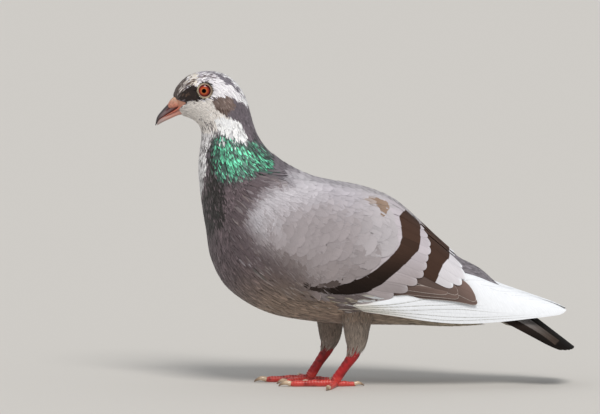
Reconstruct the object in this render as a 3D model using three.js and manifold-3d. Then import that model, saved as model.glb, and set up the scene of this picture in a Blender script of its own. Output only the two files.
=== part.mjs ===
// A feral pigeon standing still, life size, as a set of separate solids.
// Millimetres, +Z up. The bill points to -Y, the bird's left side is +X, and the feet stand on
// z = 0. The origin is on the floor, under the middle of the bird's length.
import * as THREE from 'three';
import { mergeVertices } from 'three/addons/utils/BufferGeometryUtils.js';
import Module from 'manifold-3d';

const wasm = await Module();
wasm.setup();

const GAP = 0.3; // clearance between two solids that meet

// Driving dimensions.
const EYE = { at: [-110.9, 204.2], ball: 6.4, apex: 13.0 }; // middle of the eye, and how far out it stands
const WING_BLADE = 2.4; // thickness of the folded flight feathers
const TAIL = {
  root: [64, 86.9], // y and z of the middle of its root
  slope: 37.5, // degrees below level
  length: 101.6,
  thick: 2.4,
  half: [15, 23], // half width at the root and at the end
  drop: [24, 7.5], // how far its sides hang, at the root and at the end
  outerShort: 12, // how much shorter the outer feathers are
};
const CLAW_TIP = 0.28; // radius of a claw at its point
const TOE_FLOOR = 0; // level of the flats under the toes

// Curves.

// Uniform Catmull-Rom through evenly spaced values; t runs from 0 to values.length - 1.
function along(values, t) {
  const last = values.length - 1;
  const i = Math.min(Math.max(Math.floor(t), 0), last - 1);
  const f = t - i;
  const p1 = values[i];
  const p2 = values[i + 1];
  const p0 = i > 0 ? values[i - 1] : 2 * p1 - p2;
  const p3 = i + 2 <= last ? values[i + 2] : 2 * p2 - p1;
  return 0.5 * (2 * p1 + (p2 - p0) * f + (2 * p0 - 5 * p1 + 4 * p2 - p3) * f * f
    + (3 * p1 - p0 - 3 * p2 + p3) * f * f * f);
}

// Turns rows of numbers into a function of t that gives one interpolated row.
function track(rows) {
  const columns = rows[0].map((_, c) => rows.map((row) => row[c]));
  return (t) => columns.map((values) => along(values, t));
}

const mix = (a, b, f) => a + (b - a) * f;
const signedPower = (v, e) => Math.sign(v) * Math.abs(v) ** e;

// Meshes.

// A closed body through rings of points. Each ring has the same number of points.
function loft(rings) {
  const n = rings[0].length;
  const faces = [];
  for (let r = 0; r + 1 < rings.length; r++) {
    for (let i = 0; i < n; i++) {
      const a = r * n + i;
      const b = r * n + ((i + 1) % n);
      faces.push([a, b, b + n], [a, b + n, a + n]);
    }
  }
  const last = (rings.length - 1) * n;
  faces.push(...lid(n).map(([a, b, c]) => [a, c, b]));
  faces.push(...lid(n).map((face) => face.map((i) => last + i)));
  return outward(rings.flat(), faces);
}

// Fills a ring of n points with a zigzag strip from its first and last points to its middle.
function lid(n) {
  const faces = [];
  for (let low = 0, high = n - 1; high - low > 1; low++, high--) {
    faces.push([low, low + 1, high]);
    if (high - low > 2) faces.push([low + 1, high - 1, high]);
  }
  return faces;
}

// Builds the geometry with its faces turned so that it holds a positive volume.
function outward(points, faces) {
  let volume = 0;
  const cross = new THREE.Vector3();
  for (const [a, b, c] of faces) volume += points[a].dot(cross.crossVectors(points[b], points[c]));
  const order = volume < 0 ? faces.map(([a, b, c]) => [a, c, b]) : faces;
  const geometry = new THREE.BufferGeometry().setFromPoints(points);
  geometry.setIndex(order.flat());
  return geometry;
}

function solid(geometry) {
  const bare = geometry.clone();
  bare.deleteAttribute('normal');
  bare.deleteAttribute('uv');
  const merged = mergeVertices(bare, 1e-4);
  return new wasm.Manifold(new wasm.Mesh({
    numProp: 3,
    vertProperties: new Float32Array(merged.attributes.position.array),
    triVerts: new Uint32Array(merged.index.array),
  }));
}

function geometryOf(manifold) {
  const largest = manifold.simplify(0.01).decompose().sort((a, b) => b.volume() - a.volume())[0];
  const mesh = largest.getMesh();
  const positions = new Float32Array(mesh.numVert * 3);
  for (let i = 0; i < mesh.numVert; i++) {
    positions.set(mesh.vertProperties.subarray(i * mesh.numProp, i * mesh.numProp + 3), i * 3);
  }
  return new THREE.BufferGeometry()
    .setAttribute('position', new THREE.BufferAttribute(positions, 3))
    .setIndex(new THREE.BufferAttribute(new Uint32Array(mesh.triVerts), 1));
}

// What is left of a geometry once the cutters are taken out of it.
function cut(geometry, cutters) {
  return geometryOf(cutters.reduce((left, cutter) => left.subtract(solid(cutter)), solid(geometry)));
}

function ball(radius, centre, segments = 16) {
  return new THREE.SphereGeometry(radius, segments, Math.round(segments * 0.6))
    .rotateZ(Math.PI / 2).translate(...centre);
}

// Head, neck, trunk and rump.

// Cross-sections from the bill's root to the tail's root, each one a leaning oval:
// back y and z, belly y and z, half width, and egg (above 0 is wider towards the back).
const BODY = [
  [-132.6, 200.0, -127.2, 186.6, 4.6, 0.0],
  [-129.4, 206.8, -124.0, 185.6, 8.2, -0.1],
  [-121.5, 213.9, -119.4, 183.8, 11.4, -0.08],
  [-109.5, 216.9, -116.0, 181.2, 12.6, -0.04],
  [-97.0, 214.8, -114.0, 178.4, 13.2, 0.0],
  [-87.8, 207.6, -113.1, 175.0, 13.6, 0.0],
  [-82.2, 198.0, -113.0, 170.9, 14.0, 0.0],
  [-79.0, 187.4, -113.8, 164.9, 14.8, 0.0],
  [-75.3, 175.7, -114.8, 157.4, 17.0, 0.02],
  [-69.0, 164.9, -115.1, 148.4, 21.0, 0.04],
  [-58.0, 154.9, -114.4, 137.4, 27.5, 0.05],
  [-44.0, 147.1, -112.6, 123.4, 34.0, 0.04],
  [-28.0, 141.3, -110.0, 107.4, 38.5, 0.02],
  [-10.0, 136.0, -106.2, 86.3, 41.0, 0.0],
  [7.0, 129.6, -94.3, 66.0, 42.0, 0.0],
  [22.0, 118.6, -68.4, 50.2, 41.0, 0.02],
  [37.0, 105.8, -36.0, 43.7, 37.5, 0.04],
  [52.0, 94.0, -2.0, 41.6, 31.5, 0.06],
  [66.0, 87.3, 32.0, 41.0, 25.0, 0.08],
  [79.0, 80.5, 58.0, 40.0, 20.0, 0.1],
  [91.0, 70.0, 80.0, 41.0, 16.0, 0.1],
];
const bodyAt = track(BODY);
const HEAD_END = 6;
const NECK_END = 10.5;
const TRUNK_END = 17.4;
const RUMP_END = BODY.length - 1;

// One leaning oval, with n points, grown outwards by a margin.
function bodyRing(t, n, grow = 0) {
  const [backY, backZ, bellyY, bellyZ, half, egg] = bodyAt(t);
  const middle = new THREE.Vector3(0, (backY + bellyY) / 2, (backZ + bellyZ) / 2);
  const up = new THREE.Vector3(0, (backY - bellyY) / 2, (backZ - bellyZ) / 2);
  up.setLength(up.length() + grow);
  return Array.from({ length: n }, (_, i) => {
    const turn = (2 * Math.PI * i) / n;
    const side = (half + grow) * Math.sin(turn) * (1 + egg * Math.cos(turn));
    return new THREE.Vector3(side, 0, 0).add(middle).addScaledVector(up, Math.cos(turn));
  });
}

function bodyPart(from, to, steps, n, grow = 0) {
  return loft(Array.from({ length: steps + 1 }, (_, i) => bodyRing(mix(from, to, i / steps), n, grow)));
}

const RING_GAP = 0.07; // share of a section's spacing that leaves GAP even at the throat
const neckForm = bodyPart(HEAD_END + RING_GAP, NECK_END, 8, 24);
const trunkForm = bodyPart(NECK_END + RING_GAP, TRUNK_END, 13, 24);
const rumpForm = bodyPart(TRUNK_END + 0.02, RUMP_END, 6, 24);
const trunkCutter = bodyPart(NECK_END - 1.5, RUMP_END, 20, 24, GAP);

// Eyes and bill.

const eyeCentre = (side) => [side * (EYE.apex - EYE.ball), ...EYE.at];

// Bill sections from the face to the tip: ridge y and z, cutting edge y and z, lower edge y and z,
// half width. The upper bill lies between the ridge and the cutting edge, the lower one below it.
const BILL = track([
  [-127.5, 200.0, -121.5, 195.4, -123.5, 187.2, 4.6],
  [-132.4, 198.2, -127.2, 192.4, -128.8, 186.3, 4.3],
  [-136.4, 193.8, -132.6, 189.3, -133.6, 184.3, 3.6],
  [-140.2, 189.6, -137.8, 186.2, -138.6, 182.0, 2.7],
  [-143.5, 185.1, -142.2, 183.2, -142.2, 180.1, 1.7],
  [-144.8, 179.4, -144.3, 179.2, -144.0, 179.0, 0.5],
]);
const BILL_STEPS = 10;
const BILL_ROUND = 10;
const LOWER_BILL_END = 4.55; // the upper bill's tip hooks down in front of the lower one

// A bill half between its top and bottom edges. Grown, it starts a little deeper in the face.
function billPart(topOf, bottomOf, to, grow) {
  const from = -0.2 * grow;
  const rings = Array.from({ length: BILL_STEPS + 1 }, (_, i) => {
    const row = BILL(mix(from, to, i / BILL_STEPS));
    const [topY, topZ] = topOf(row);
    const [lowY, lowZ] = bottomOf(row);
    const middle = new THREE.Vector3(0, (topY + lowY) / 2, (topZ + lowZ) / 2);
    const up = new THREE.Vector3(0, (topY - lowY) / 2, (topZ - lowZ) / 2);
    up.setLength(up.length() + grow);
    return Array.from({ length: BILL_ROUND }, (_, k) => {
      const turn = (2 * Math.PI * k) / BILL_ROUND;
      const x = (row[6] + grow) * signedPower(Math.sin(turn), 0.8);
      return new THREE.Vector3(x, 0, 0).add(middle).addScaledVector(up, Math.cos(turn));
    });
  });
  return loft(rings);
}

const upperBill = (grow = 0) => billPart((r) => [r[0], r[1]], (r) => [r[2], r[3]], 5, grow);
const lowerBill = (grow = 0) => billPart(
  (r) => [r[2], r[3] - GAP - 0.2], (r) => [r[4], r[5]], LOWER_BILL_END, grow);

// The fleshy swelling over the nostrils: a bean on each side of the ridge.
function cereForm(grow = 0) {
  const bean = (side) => solid(new THREE.SphereGeometry(1, 12, 8)
    .scale(2.5 + grow, 5.6 + grow, 2.6 + grow)
    .rotateX(THREE.MathUtils.degToRad(42)).translate(side * 1.6, -132.3, 197.0));
  return geometryOf(bean(1).add(bean(-1)));
}

// Wings.

// Sections of the folded wing's outside, from the bend to the rear: y, lean (how far the lower
// edge trails the upper), upper edge x and z, lower edge x and z, bulge x, and thickness.
const ARM = track([
  [-82.0, 2.0, 33.0, 128.0, 35.0, 114.0, 36.5, 3.0],
  [-75.0, 0.0, 31.0, 139.0, 38.0, 97.0, 43.0, 9.0],
  [-60.0, -2.0, 27.0, 145.6, 40.0, 80.0, 47.5, 12.0],
  [-42.0, -2.0, 21.0, 143.0, 38.5, 66.2, 51.0, 13.0],
  [-22.0, 0.0, 15.0, 139.6, 37.0, 58.2, 52.0, 13.0],
  [-1.0, 3.0, 9.5, 136.2, 37.0, 58.0, 50.5, 12.0],
  [20.0, 6.0, 5.0, 128.6, 37.5, 64.2, 47.0, 10.0],
  [37.0, 9.0, 2.6, 115.4, 37.5, 64.0, 43.0, 7.0],
  [52.0, 12.0, 2.2, 102.2, 35.0, 62.6, 39.0, 4.5],
  [66.0, 13.0, 3.0, 89.6, 32.5, 59.8, 34.5, 3.2],
]);
const ARM_ROUND = 9; // points over the outside of one section

// The stack of primaries behind and below the arm.
const BLADE = track([
  [-6.0, 0.0, 36.5, 60.0, 36.5, 54.2, 37.5, WING_BLADE],
  [20.0, 0.0, 35.0, 66.0, 36.5, 50.6, 37.5, WING_BLADE],
  [46.0, 0.0, 27.0, 76.0, 34.5, 46.6, 35.0, WING_BLADE],
  [68.0, 0.0, 19.0, 78.6, 30.5, 44.8, 30.5, WING_BLADE],
  [92.0, 0.0, 9.5, 69.6, 27.0, 45.7, 26.0, WING_BLADE],
  [114.0, 0.0, 6.4, 62.3, 21.5, 47.6, 19.5, WING_BLADE],
  [130.0, 0.0, 6.4, 56.8, 15.0, 48.9, 13.6, WING_BLADE],
  [139.0, 0.0, 7.6, 52.6, 10.0, 50.2, 9.6, 1.4],
]);
const BLADE_ROUND = 5;

// One section: a cubic curve over the outside, and the same curve moved inwards by the thickness.
// Grown, both faces move apart by the margin.
function wingRing(sections, t, round, side, grow) {
  const [y, lean, topX, topZ, lowX, lowZ, bulge, thick] = sections(t);
  const curve = new THREE.CubicBezierCurve(
    new THREE.Vector2(topX, topZ),
    new THREE.Vector2(mix(topX, bulge, 0.86), topZ + 0.02 * (topZ - lowZ)),
    new THREE.Vector2(bulge * 1.03, mix(lowZ, topZ, 0.4)),
    new THREE.Vector2(lowX, lowZ),
  );
  const outside = [];
  const inside = [];
  for (let i = 0; i < round; i++) {
    const q = i / (round - 1);
    const p = curve.getPoint(q);
    const heading = curve.getTangent(q);
    const depth = thick * (0.3 + 0.7 * Math.sin(Math.PI * q) ** 0.6);
    const atY = y + lean * (q - 0.35);
    const place = (inwards) => new THREE.Vector3(
      side * (p.x + heading.y * inwards), atY, p.y - heading.x * inwards);
    outside.push(place(-grow));
    inside.push(place(depth + grow));
  }
  return [...outside, ...inside.reverse()];
}

function wingPart(sections, last, steps, round, side, grow = 0) {
  return loft(Array.from({ length: steps + 1 }, (_, i) => wingRing(
    sections, (last * i) / steps, round, side, grow)));
}

const armForm = (side, grow) => wingPart(ARM, 9, 16, ARM_ROUND, side, grow);
const bladeForm = (side) => wingPart(BLADE, 7, 12, BLADE_ROUND, side);

// Tail.

// The folded tail: an arched plate. Its sides hang lower near the root, and its end is square
// with short outer feathers.
function tailForm() {
  const slope = THREE.MathUtils.degToRad(TAIL.slope);
  const downTail = new THREE.Vector3(0, Math.cos(slope), -Math.sin(slope));
  const offTail = new THREE.Vector3(0, Math.sin(slope), Math.cos(slope));
  const root = new THREE.Vector3(0, ...TAIL.root);
  const steps = 8;
  const across = 11;
  const rings = Array.from({ length: steps + 1 }, (_, i) => {
    const f = i / steps;
    const half = mix(...TAIL.half, f ** 0.8);
    const drop = mix(...TAIL.drop, f);
    const top = [];
    const bottom = [];
    for (let k = 0; k < across; k++) {
      const u = (2 * k) / (across - 1) - 1;
      const shorten = TAIL.outerShort * f * Math.abs(u) ** 2.4;
      const reach = TAIL.length * f - shorten;
      const height = -drop * Math.abs(u) ** 2.2 - TAIL.thick / 2;
      const x = half * Math.sin((u * Math.PI) / 2);
      const p = new THREE.Vector3(x, 0, 0).add(root).addScaledVector(downTail, reach)
        .addScaledVector(offTail, height);
      top.push(p.clone().addScaledVector(offTail, TAIL.thick / 2));
      bottom.push(p.addScaledVector(offTail, -TAIL.thick / 2));
    }
    return [...top, ...bottom.reverse()];
  });
  return loft(rings);
}

// Legs and feet.

// Each leg: where its toes meet, where its heel is, and how far the foot turns out, in degrees.
const LEGS = [
  { name: 'left', side: 1, foot: [16, -20.4, 3.6], heel: [18, -6.6, 24.6], turn: 0 },
  { name: 'right', side: -1, foot: [-16, -37.6, 3.6], heel: [-18, -24.6, 24.6], turn: -6 },
];

// Thigh sections from inside the flank down to the feathered heel: x, y and z from the heel, half
// width across and half width along the body.
const THIGH = track([
  [1.0, 2.0, 36.0, 11.0, 13.0],
  [1.2, 1.0, 24.0, 9.6, 11.0],
  [0.8, 0.6, 15.0, 7.2, 9.0],
  [0.4, 0.6, 8.0, 5.6, 7.8],
  [0.0, 0.2, 2.4, 4.4, 6.2],
  [0.0, -1.6, -1.8, 3.5, 4.4],
]);

function ovalRing(x, y, z, halfX, halfY, n) {
  return Array.from({ length: n }, (_, i) => {
    const turn = (2 * Math.PI * i) / n;
    return new THREE.Vector3(x + halfX * Math.cos(turn), y + halfY * Math.sin(turn), z);
  });
}

function thighForm(leg) {
  const steps = 7;
  const rings = Array.from({ length: steps + 1 }, (_, i) => {
    const [x, y, z, halfX, halfY] = THIGH((5 * i) / steps);
    return ovalRing(leg.heel[0] + leg.side * x, leg.heel[1] + y, leg.heel[2] + z, halfX, halfY, 12);
  });
  return loft(rings);
}

// A round limb along a line of points, each with its own radius. Nothing goes under the floor level.
function limb(points, radii, n, floor, steps = 2 * (points.length - 1)) {
  const curve = new THREE.CatmullRomCurve3(points.map((p) => new THREE.Vector3(...p)));
  const flat = new THREE.Vector3(0, 0, 1);
  const rings = Array.from({ length: steps + 1 }, (_, i) => {
    const t = i / steps;
    const middle = curve.getPoint(t);
    const heading = curve.getTangent(t);
    const across = new THREE.Vector3().crossVectors(heading, flat).normalize();
    const up = new THREE.Vector3().crossVectors(across, heading).normalize();
    const radius = along(radii, t * (radii.length - 1));
    return Array.from({ length: n }, (_, k) => {
      const turn = (2 * Math.PI * (k + 0.5)) / n;
      const p = middle.clone().addScaledVector(across, radius * Math.cos(turn))
        .addScaledVector(up, radius * Math.sin(turn));
      p.z = Math.max(p.z, floor);
      return p;
    });
  });
  return loft(rings);
}

const SHANK_RADII = [3.9, 3.3, 3.5, 3.2]; // from the heel down to the foot

function shankForm(leg, grow = 0) {
  const [footX, footY, footZ] = leg.foot;
  const [heelX, heelY, heelZ] = leg.heel;
  const top = [heelX, heelY - 1.4, heelZ - 2.6];
  const middle = [mix(top[0], footX, 0.5), mix(top[1], footY, 0.5) - 0.4, mix(top[2], footZ, 0.5)];
  const points = [top, middle, [footX, footY + 0.6, footZ + 1.6], [footX, footY - 0.6, footZ - 0.6]];
  return limb(points, SHANK_RADII.map((r) => r + grow), 12, TOE_FLOOR + 0.2);
}

// Toes: 1 is the hind toe, 2 the inner, 3 the middle and 4 the outer one. Bearing is from straight
// ahead towards the outside of the foot.
const TOES = [
  { digit: 1, bearing: 190, length: 13.5, radius: 2.1, claw: 6.0 },
  { digit: 2, bearing: -30, length: 22.0, radius: 2.15, claw: 6.5 },
  { digit: 3, bearing: 0, length: 31.5, radius: 2.6, claw: 7.5 },
  { digit: 4, bearing: 78, length: 23.5, radius: 2.2, claw: 6.5 },
];
const TOE_START = 2.6; // from the middle of the foot

// A point above the floor, so far along a toe.
function toePoint(leg, toe, reach, z) {
  const bearing = THREE.MathUtils.degToRad(toe.bearing + leg.turn);
  const [x, y] = leg.foot;
  return [x + leg.side * Math.sin(bearing) * reach, y - Math.cos(bearing) * reach, z];
}

function toeForm(leg, toe, grow = 0) {
  const count = 5;
  const points = [];
  const radii = [];
  for (let i = 0; i <= count; i++) {
    const f = i / count;
    const pad = 1 + 0.06 * Math.cos(f * Math.PI * 4);
    const radius = toe.radius * mix(1.06, 0.8, f) * pad;
    points.push(toePoint(leg, toe, mix(TOE_START, toe.length, f), radius - 0.35));
    radii.push(radius + grow);
  }
  return limb(points, radii, 8, TOE_FLOOR - grow, 7);
}

function clawForm(leg, toe) {
  const start = toe.length + 0.4;
  const base = toe.radius * 0.72;
  const reach = [0, 0.4, 0.78, 1];
  const rise = [base + 0.15, base + 0.35, base * 0.62 + 0.1, 0.55];
  const points = reach.map((f, i) => toePoint(leg, toe, start + toe.claw * f, rise[i]));
  return limb(points, [base, base * 0.82, base * 0.5, CLAW_TIP], 6, TOE_FLOOR + 0.1, 4);
}

// The bird.

const COLOURS = {
  pale: [0x9c979b, 0.8], neck: [0x4f6660, 0.45], slate: [0x5a5458, 0.75], wing: [0xaaa5a8, 0.8],
  white: [0xe8e9ee, 0.75], dark: [0x2a2120, 0.7], head: [0xc9c6c6, 0.8], red: [0xb3242b, 0.5],
  horn: [0x3a2e2d, 0.35], billSkin: [0xc98a72, 0.5], eye: [0xb5400f, 0.15], thigh: [0x857b76, 0.85],
};

const bird = new THREE.Group();

function add(name, geometry, colour) {
  const [hex, roughness] = COLOURS[colour];
  const material = new THREE.MeshStandardMaterial({ color: hex, roughness, metalness: 0 });
  geometry.computeVertexNormals();
  const mesh = new THREE.Mesh(geometry, material);
  mesh.name = name;
  bird.add(mesh);
  return mesh;
}

const SIDES = [['left', 1], ['right', -1]];

const headForm = cut(bodyPart(0, HEAD_END, 14, 24),
  [...SIDES.map(([, side]) => ball(EYE.ball + 1.3 * GAP, eyeCentre(side), 14)),
    upperBill(GAP), lowerBill(GAP), cereForm(1.3 * GAP)]);
add('head', headForm, 'head');
add('neck', neckForm, 'neck');
add('trunk', trunkForm, 'slate');
add('rump', rumpForm, 'pale');
add('bill_upper', upperBill(), 'horn');
add('bill_lower', lowerBill(), 'billSkin');
add('cere', cut(cereForm(), [upperBill(GAP)]), 'billSkin');
add('tail', cut(tailForm(), [trunkCutter]), 'dark');

for (const [name, side] of SIDES) {
  add(`eye_${name}`, ball(EYE.ball, eyeCentre(side)), 'eye');
  add(`wing_${name}`, cut(armForm(side), [trunkCutter]), 'wing');
  add(`primaries_${name}`, cut(bladeForm(side), [trunkCutter, armForm(side, GAP)]), 'white');
}

for (const leg of LEGS) {
  const shank = shankForm(leg);
  const thigh = thighForm(leg);
  add(`thigh_${leg.name}`, cut(thigh, [trunkCutter, shankForm(leg, GAP)]), 'thigh');
  add(`shank_${leg.name}`, shank, 'red');
  const middleToe = toeForm(leg, TOES[2], GAP);
  for (const toe of TOES) {
    const cutters = [shankForm(leg, GAP)];
    if (toe.digit !== 3) cutters.push(middleToe);
    add(`toe_${leg.name}_${toe.digit}`, cut(toeForm(leg, toe), cutters), 'red');
    add(`claw_${leg.name}_${toe.digit}`, clawForm(leg, toe), 'horn');
  }
}

export default bird;
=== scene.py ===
from math import cos, pi, radians, sin

import bpy
import numpy as np
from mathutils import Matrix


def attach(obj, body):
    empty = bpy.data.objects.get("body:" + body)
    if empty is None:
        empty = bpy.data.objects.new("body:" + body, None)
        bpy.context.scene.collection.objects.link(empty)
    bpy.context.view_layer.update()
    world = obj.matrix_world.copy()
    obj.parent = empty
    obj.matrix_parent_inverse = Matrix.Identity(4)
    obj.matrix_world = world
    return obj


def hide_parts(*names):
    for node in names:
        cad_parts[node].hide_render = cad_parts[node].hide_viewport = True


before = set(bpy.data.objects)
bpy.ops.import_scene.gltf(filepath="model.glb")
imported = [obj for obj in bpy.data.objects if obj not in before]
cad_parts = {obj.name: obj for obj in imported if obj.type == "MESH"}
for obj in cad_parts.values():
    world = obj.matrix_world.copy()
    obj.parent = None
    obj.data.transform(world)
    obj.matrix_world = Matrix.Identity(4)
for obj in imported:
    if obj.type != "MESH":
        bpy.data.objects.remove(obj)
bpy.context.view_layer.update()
mm = 0.001
chance = np.random.default_rng(11)
print("frame loaded:", len(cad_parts), "solids")


# From a to b by the share f
def mix(a, b, f):
    return a + (b - a) * f


# The same for colours, with one share for each point
def lay(colour, other, share):
    return mix(colour, other, np.asarray(share)[..., None])


# A colour from three screen levels, 0 to 255
def rgb(*levels):
    return np.array(levels, float)


# Two arrays of every pairing of the values given
def grid(first, second):
    return np.meshgrid(first, second, indexing="ij")


# Angles evenly spaced over a whole turn
def wholeTurn(count):
    return np.linspace(0, 2 * pi, count, endpoint=False)


# Corners of faces on a chart, from the (u, v) of each corner
def cornersAt(*places):
    return np.stack([np.stack(place, -1) for place in places], 1)


# Eases from 0 at low to 1 at high, as 3f^2 - 2f^3
def smooth(low, high, x):
    f = np.clip((x - low) / (high - low), 0, 1)
    return f * f * (3 - 2 * f)


# Length of each vector
def sizeOf(v):
    return np.linalg.norm(v, axis=-1)


# Each vector divided by its length
def unit(v):
    return v / np.maximum(np.linalg.norm(v, axis=-1, keepdims=True), 1e-9)


# Uniform Catmull-Rom through evenly spaced rows, run straight on past both ends
def through(rows, t):
    rows = np.asarray(rows, float)
    rows = rows[:, None] if rows.ndim == 1 else rows
    last = len(rows) - 1
    padded = np.vstack([2 * rows[0] - rows[1], rows, 2 * rows[-1] - rows[-2]])
    t = np.asarray(t, float)
    kept = np.clip(t, 0, last)
    i = np.clip(np.floor(kept).astype(int), 0, last - 1)
    f = (kept - i)[..., None]
    a, b, c, d = padded[i], padded[i + 1], padded[i + 2], padded[i + 3]
    bend = (2 * a - 5 * b + 4 * c - d) * f**2 + (3 * b - a - 3 * c + d) * f**3
    slope = 0.5 * (c - a) + (2 * a - 5 * b + 4 * c - d) * f + 1.5 * (3 * b - a - 3 * c + d) * f**2
    return 0.5 * (2 * b + (c - a) * f + bend) + slope * (t - kept)[..., None]


lattice = np.random.default_rng(3).random((24, 24, 24)) * 2 - 1


# Smooth noise from -1 to 1: random values on a lattice, eased between its corners
def drift(points, size, shift=0.0):
    place = points / size + 50.3 + shift
    corner = np.floor(place).astype(int)
    f = place - corner
    f = f * f * (3 - 2 * f)
    total = 0
    for dx, dy, dz in np.ndindex(2, 2, 2):
        weight = 1
        for axis, step in enumerate((dx, dy, dz)):
            weight = weight * (f[..., axis] if step else 1 - f[..., axis])
        at = (corner + (dx, dy, dz)) % 24
        total = total + weight * lattice[at[..., 0], at[..., 1], at[..., 2]]
    return total


# Screen colour, 0 to 255, to the linear colour that shaders take
def linear(colour):
    c = np.clip(np.asarray(colour, float) / 255, 0, 1)
    return np.where(c <= 0.04045, c / 12.92, ((c + 0.055) / 1.055) ** 2.4)


# Leaning ovals from the bill's root to the tail's root: back y and z, belly y and z, half width,
# and egg (above 0 is wider towards the back)
body = {
    "rows": [
        [-132.6, 200.0, -127.2, 186.6, 4.6, 0.0],
        [-129.4, 206.8, -124.0, 185.6, 8.2, -0.1],
        [-121.5, 213.9, -119.4, 183.8, 11.4, -0.08],
        [-109.5, 216.9, -116.0, 181.2, 12.6, -0.04],
        [-97.0, 214.8, -114.0, 178.4, 13.2, 0.0],
        [-87.8, 207.6, -113.1, 175.0, 13.6, 0.0],
        [-82.2, 198.0, -113.0, 170.9, 14.0, 0.0],
        [-79.0, 187.4, -113.8, 164.9, 14.8, 0.0],
        [-75.3, 175.7, -114.8, 157.4, 17.0, 0.02],
        [-69.0, 164.9, -115.1, 148.4, 21.0, 0.04],
        [-58.0, 154.9, -114.4, 137.4, 27.5, 0.05],
        [-44.0, 147.1, -112.6, 123.4, 34.0, 0.04],
        [-28.0, 141.3, -110.0, 107.4, 38.5, 0.02],
        [-10.0, 136.0, -106.2, 86.3, 41.0, 0.0],
        [7.0, 129.6, -94.3, 66.0, 42.0, 0.0],
        [22.0, 118.6, -68.4, 50.2, 41.0, 0.02],
        [37.0, 105.8, -36.0, 43.7, 37.5, 0.04],
        [52.0, 94.0, -2.0, 41.6, 31.5, 0.06],
        [66.0, 87.3, 32.0, 41.0, 25.0, 0.08],
        [79.0, 80.5, 58.0, 40.0, 20.0, 0.1],
        [91.0, 70.0, 80.0, 41.0, 16.0, 0.1],
    ],
    "last": 20,
}


# Body: a point on the oval at station s, turned from the back (0) over the left side to the belly (pi)
def bodyAt(s, turn):
    backY, backZ, bellyY, bellyZ, half, egg = np.moveaxis(through(body["rows"], s), -1, 0)
    x = half * np.sin(turn) * (1 + egg * np.cos(turn))
    y = (backY + bellyY) / 2 + (backY - bellyY) / 2 * np.cos(turn)
    z = (backZ + bellyZ) / 2 + (backZ - bellyZ) / 2 * np.cos(turn)
    return np.stack([x, y, z], -1)


# Folded wing: y, lean, upper edge x and z, lower edge x and z, bulge x
wing = {
    "arm": [
        [-82.0, 2.0, 33.0, 128.0, 35.0, 114.0, 36.5],
        [-75.0, 0.0, 31.0, 139.0, 38.0, 97.0, 43.0],
        [-60.0, -2.0, 27.0, 145.6, 40.0, 80.0, 47.5],
        [-42.0, -2.0, 21.0, 143.0, 38.5, 66.2, 51.0],
        [-22.0, 0.0, 15.0, 139.6, 37.0, 58.2, 52.0],
        [-1.0, 3.0, 9.5, 136.2, 37.0, 58.0, 50.5],
        [20.0, 6.0, 5.0, 128.6, 37.5, 64.2, 47.0],
        [37.0, 9.0, 2.6, 115.4, 37.5, 64.0, 43.0],
        [52.0, 12.0, 2.2, 102.2, 35.0, 62.6, 39.0],
        [66.0, 13.0, 3.0, 89.6, 32.5, 59.8, 34.5],
    ],
    "blade": [
        [-6.0, 0.0, 36.5, 60.0, 36.5, 54.2, 37.5],
        [20.0, 0.0, 35.0, 66.0, 36.5, 50.6, 37.5],
        [46.0, 0.0, 27.0, 76.0, 34.5, 46.6, 35.0],
        [68.0, 0.0, 19.0, 78.6, 30.5, 44.8, 30.5],
        [92.0, 0.0, 9.5, 69.6, 27.0, 45.7, 26.0],
        [114.0, 0.0, 6.4, 62.3, 21.5, 47.6, 19.5],
        [130.0, 0.0, 6.4, 56.8, 15.0, 48.9, 13.6],
        [139.0, 0.0, 7.6, 52.6, 10.0, 50.2, 9.6],
    ],
}


# Wing: a cubic curve over the outside of section a, q from the upper edge (0) to the lower edge (1)
def wingShell(rows, a, q, side):
    y, lean, topX, topZ, lowX, lowZ, bulge = np.moveaxis(through(rows, a), -1, 0)
    shoulderX = mix(topX, bulge, 0.86)
    shoulderZ = topZ + 0.02 * (topZ - lowZ)
    flankX = bulge * 1.03
    flankZ = mix(lowZ, topZ, 0.4)
    p = 1 - q
    x = p**3 * topX + 3 * p**2 * q * shoulderX + 3 * p * q**2 * flankX + q**3 * lowX
    z = p**3 * topZ + 3 * p**2 * q * shoulderZ + 3 * p * q**2 * flankZ + q**3 * lowZ
    return np.stack([side * x, y + lean * (q - 0.35), z], -1)


# One part of a wing as a surface of its own
def wingSurface(part, side):
    return lambda a, q: wingShell(wing[part], a, q, side)


tail = {"root": (64, 86.9), "slope": radians(37.5), "length": 101.6, "half": (15, 23), "drop": (24, 7.5),
        "short": 12}


# Tail: f from the root to the end, u from the right edge (-1) to the left edge (1), sides hanging
def tailAt(f, u):
    reach = tail["length"] * f - tail["short"] * np.clip(f, 0, 2) * np.abs(u) ** 2.4
    height = -mix(*tail["drop"], f) * np.abs(u) ** 2.2
    x = mix(*tail["half"], np.clip(f, 0, 2) ** 0.8) * np.sin(np.clip(u, -1.2, 1.2) * pi / 2)
    y = tail["root"][0] + reach * cos(tail["slope"]) + height * sin(tail["slope"])
    z = tail["root"][1] - reach * sin(tail["slope"]) + height * cos(tail["slope"])
    return np.stack([x, y, z], -1)


legs = {
    "left": {"side": 1, "foot": (16, -20.4, 3.6), "heel": (18, -6.6, 24.6), "turn": 0},
    "right": {"side": -1, "foot": (-16, -37.6, 3.6), "heel": (-18, -24.6, 24.6), "turn": -6},
}
thighRows = [
    [1.0, 2.0, 36.0, 11.0, 13.0],
    [1.2, 1.0, 24.0, 9.6, 11.0],
    [0.8, 0.6, 15.0, 7.2, 9.0],
    [0.4, 0.6, 8.0, 5.6, 7.8],
    [0.0, 0.2, 2.4, 4.4, 6.2],
    [0.0, -1.6, -1.8, 3.5, 4.4],
]


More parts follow.
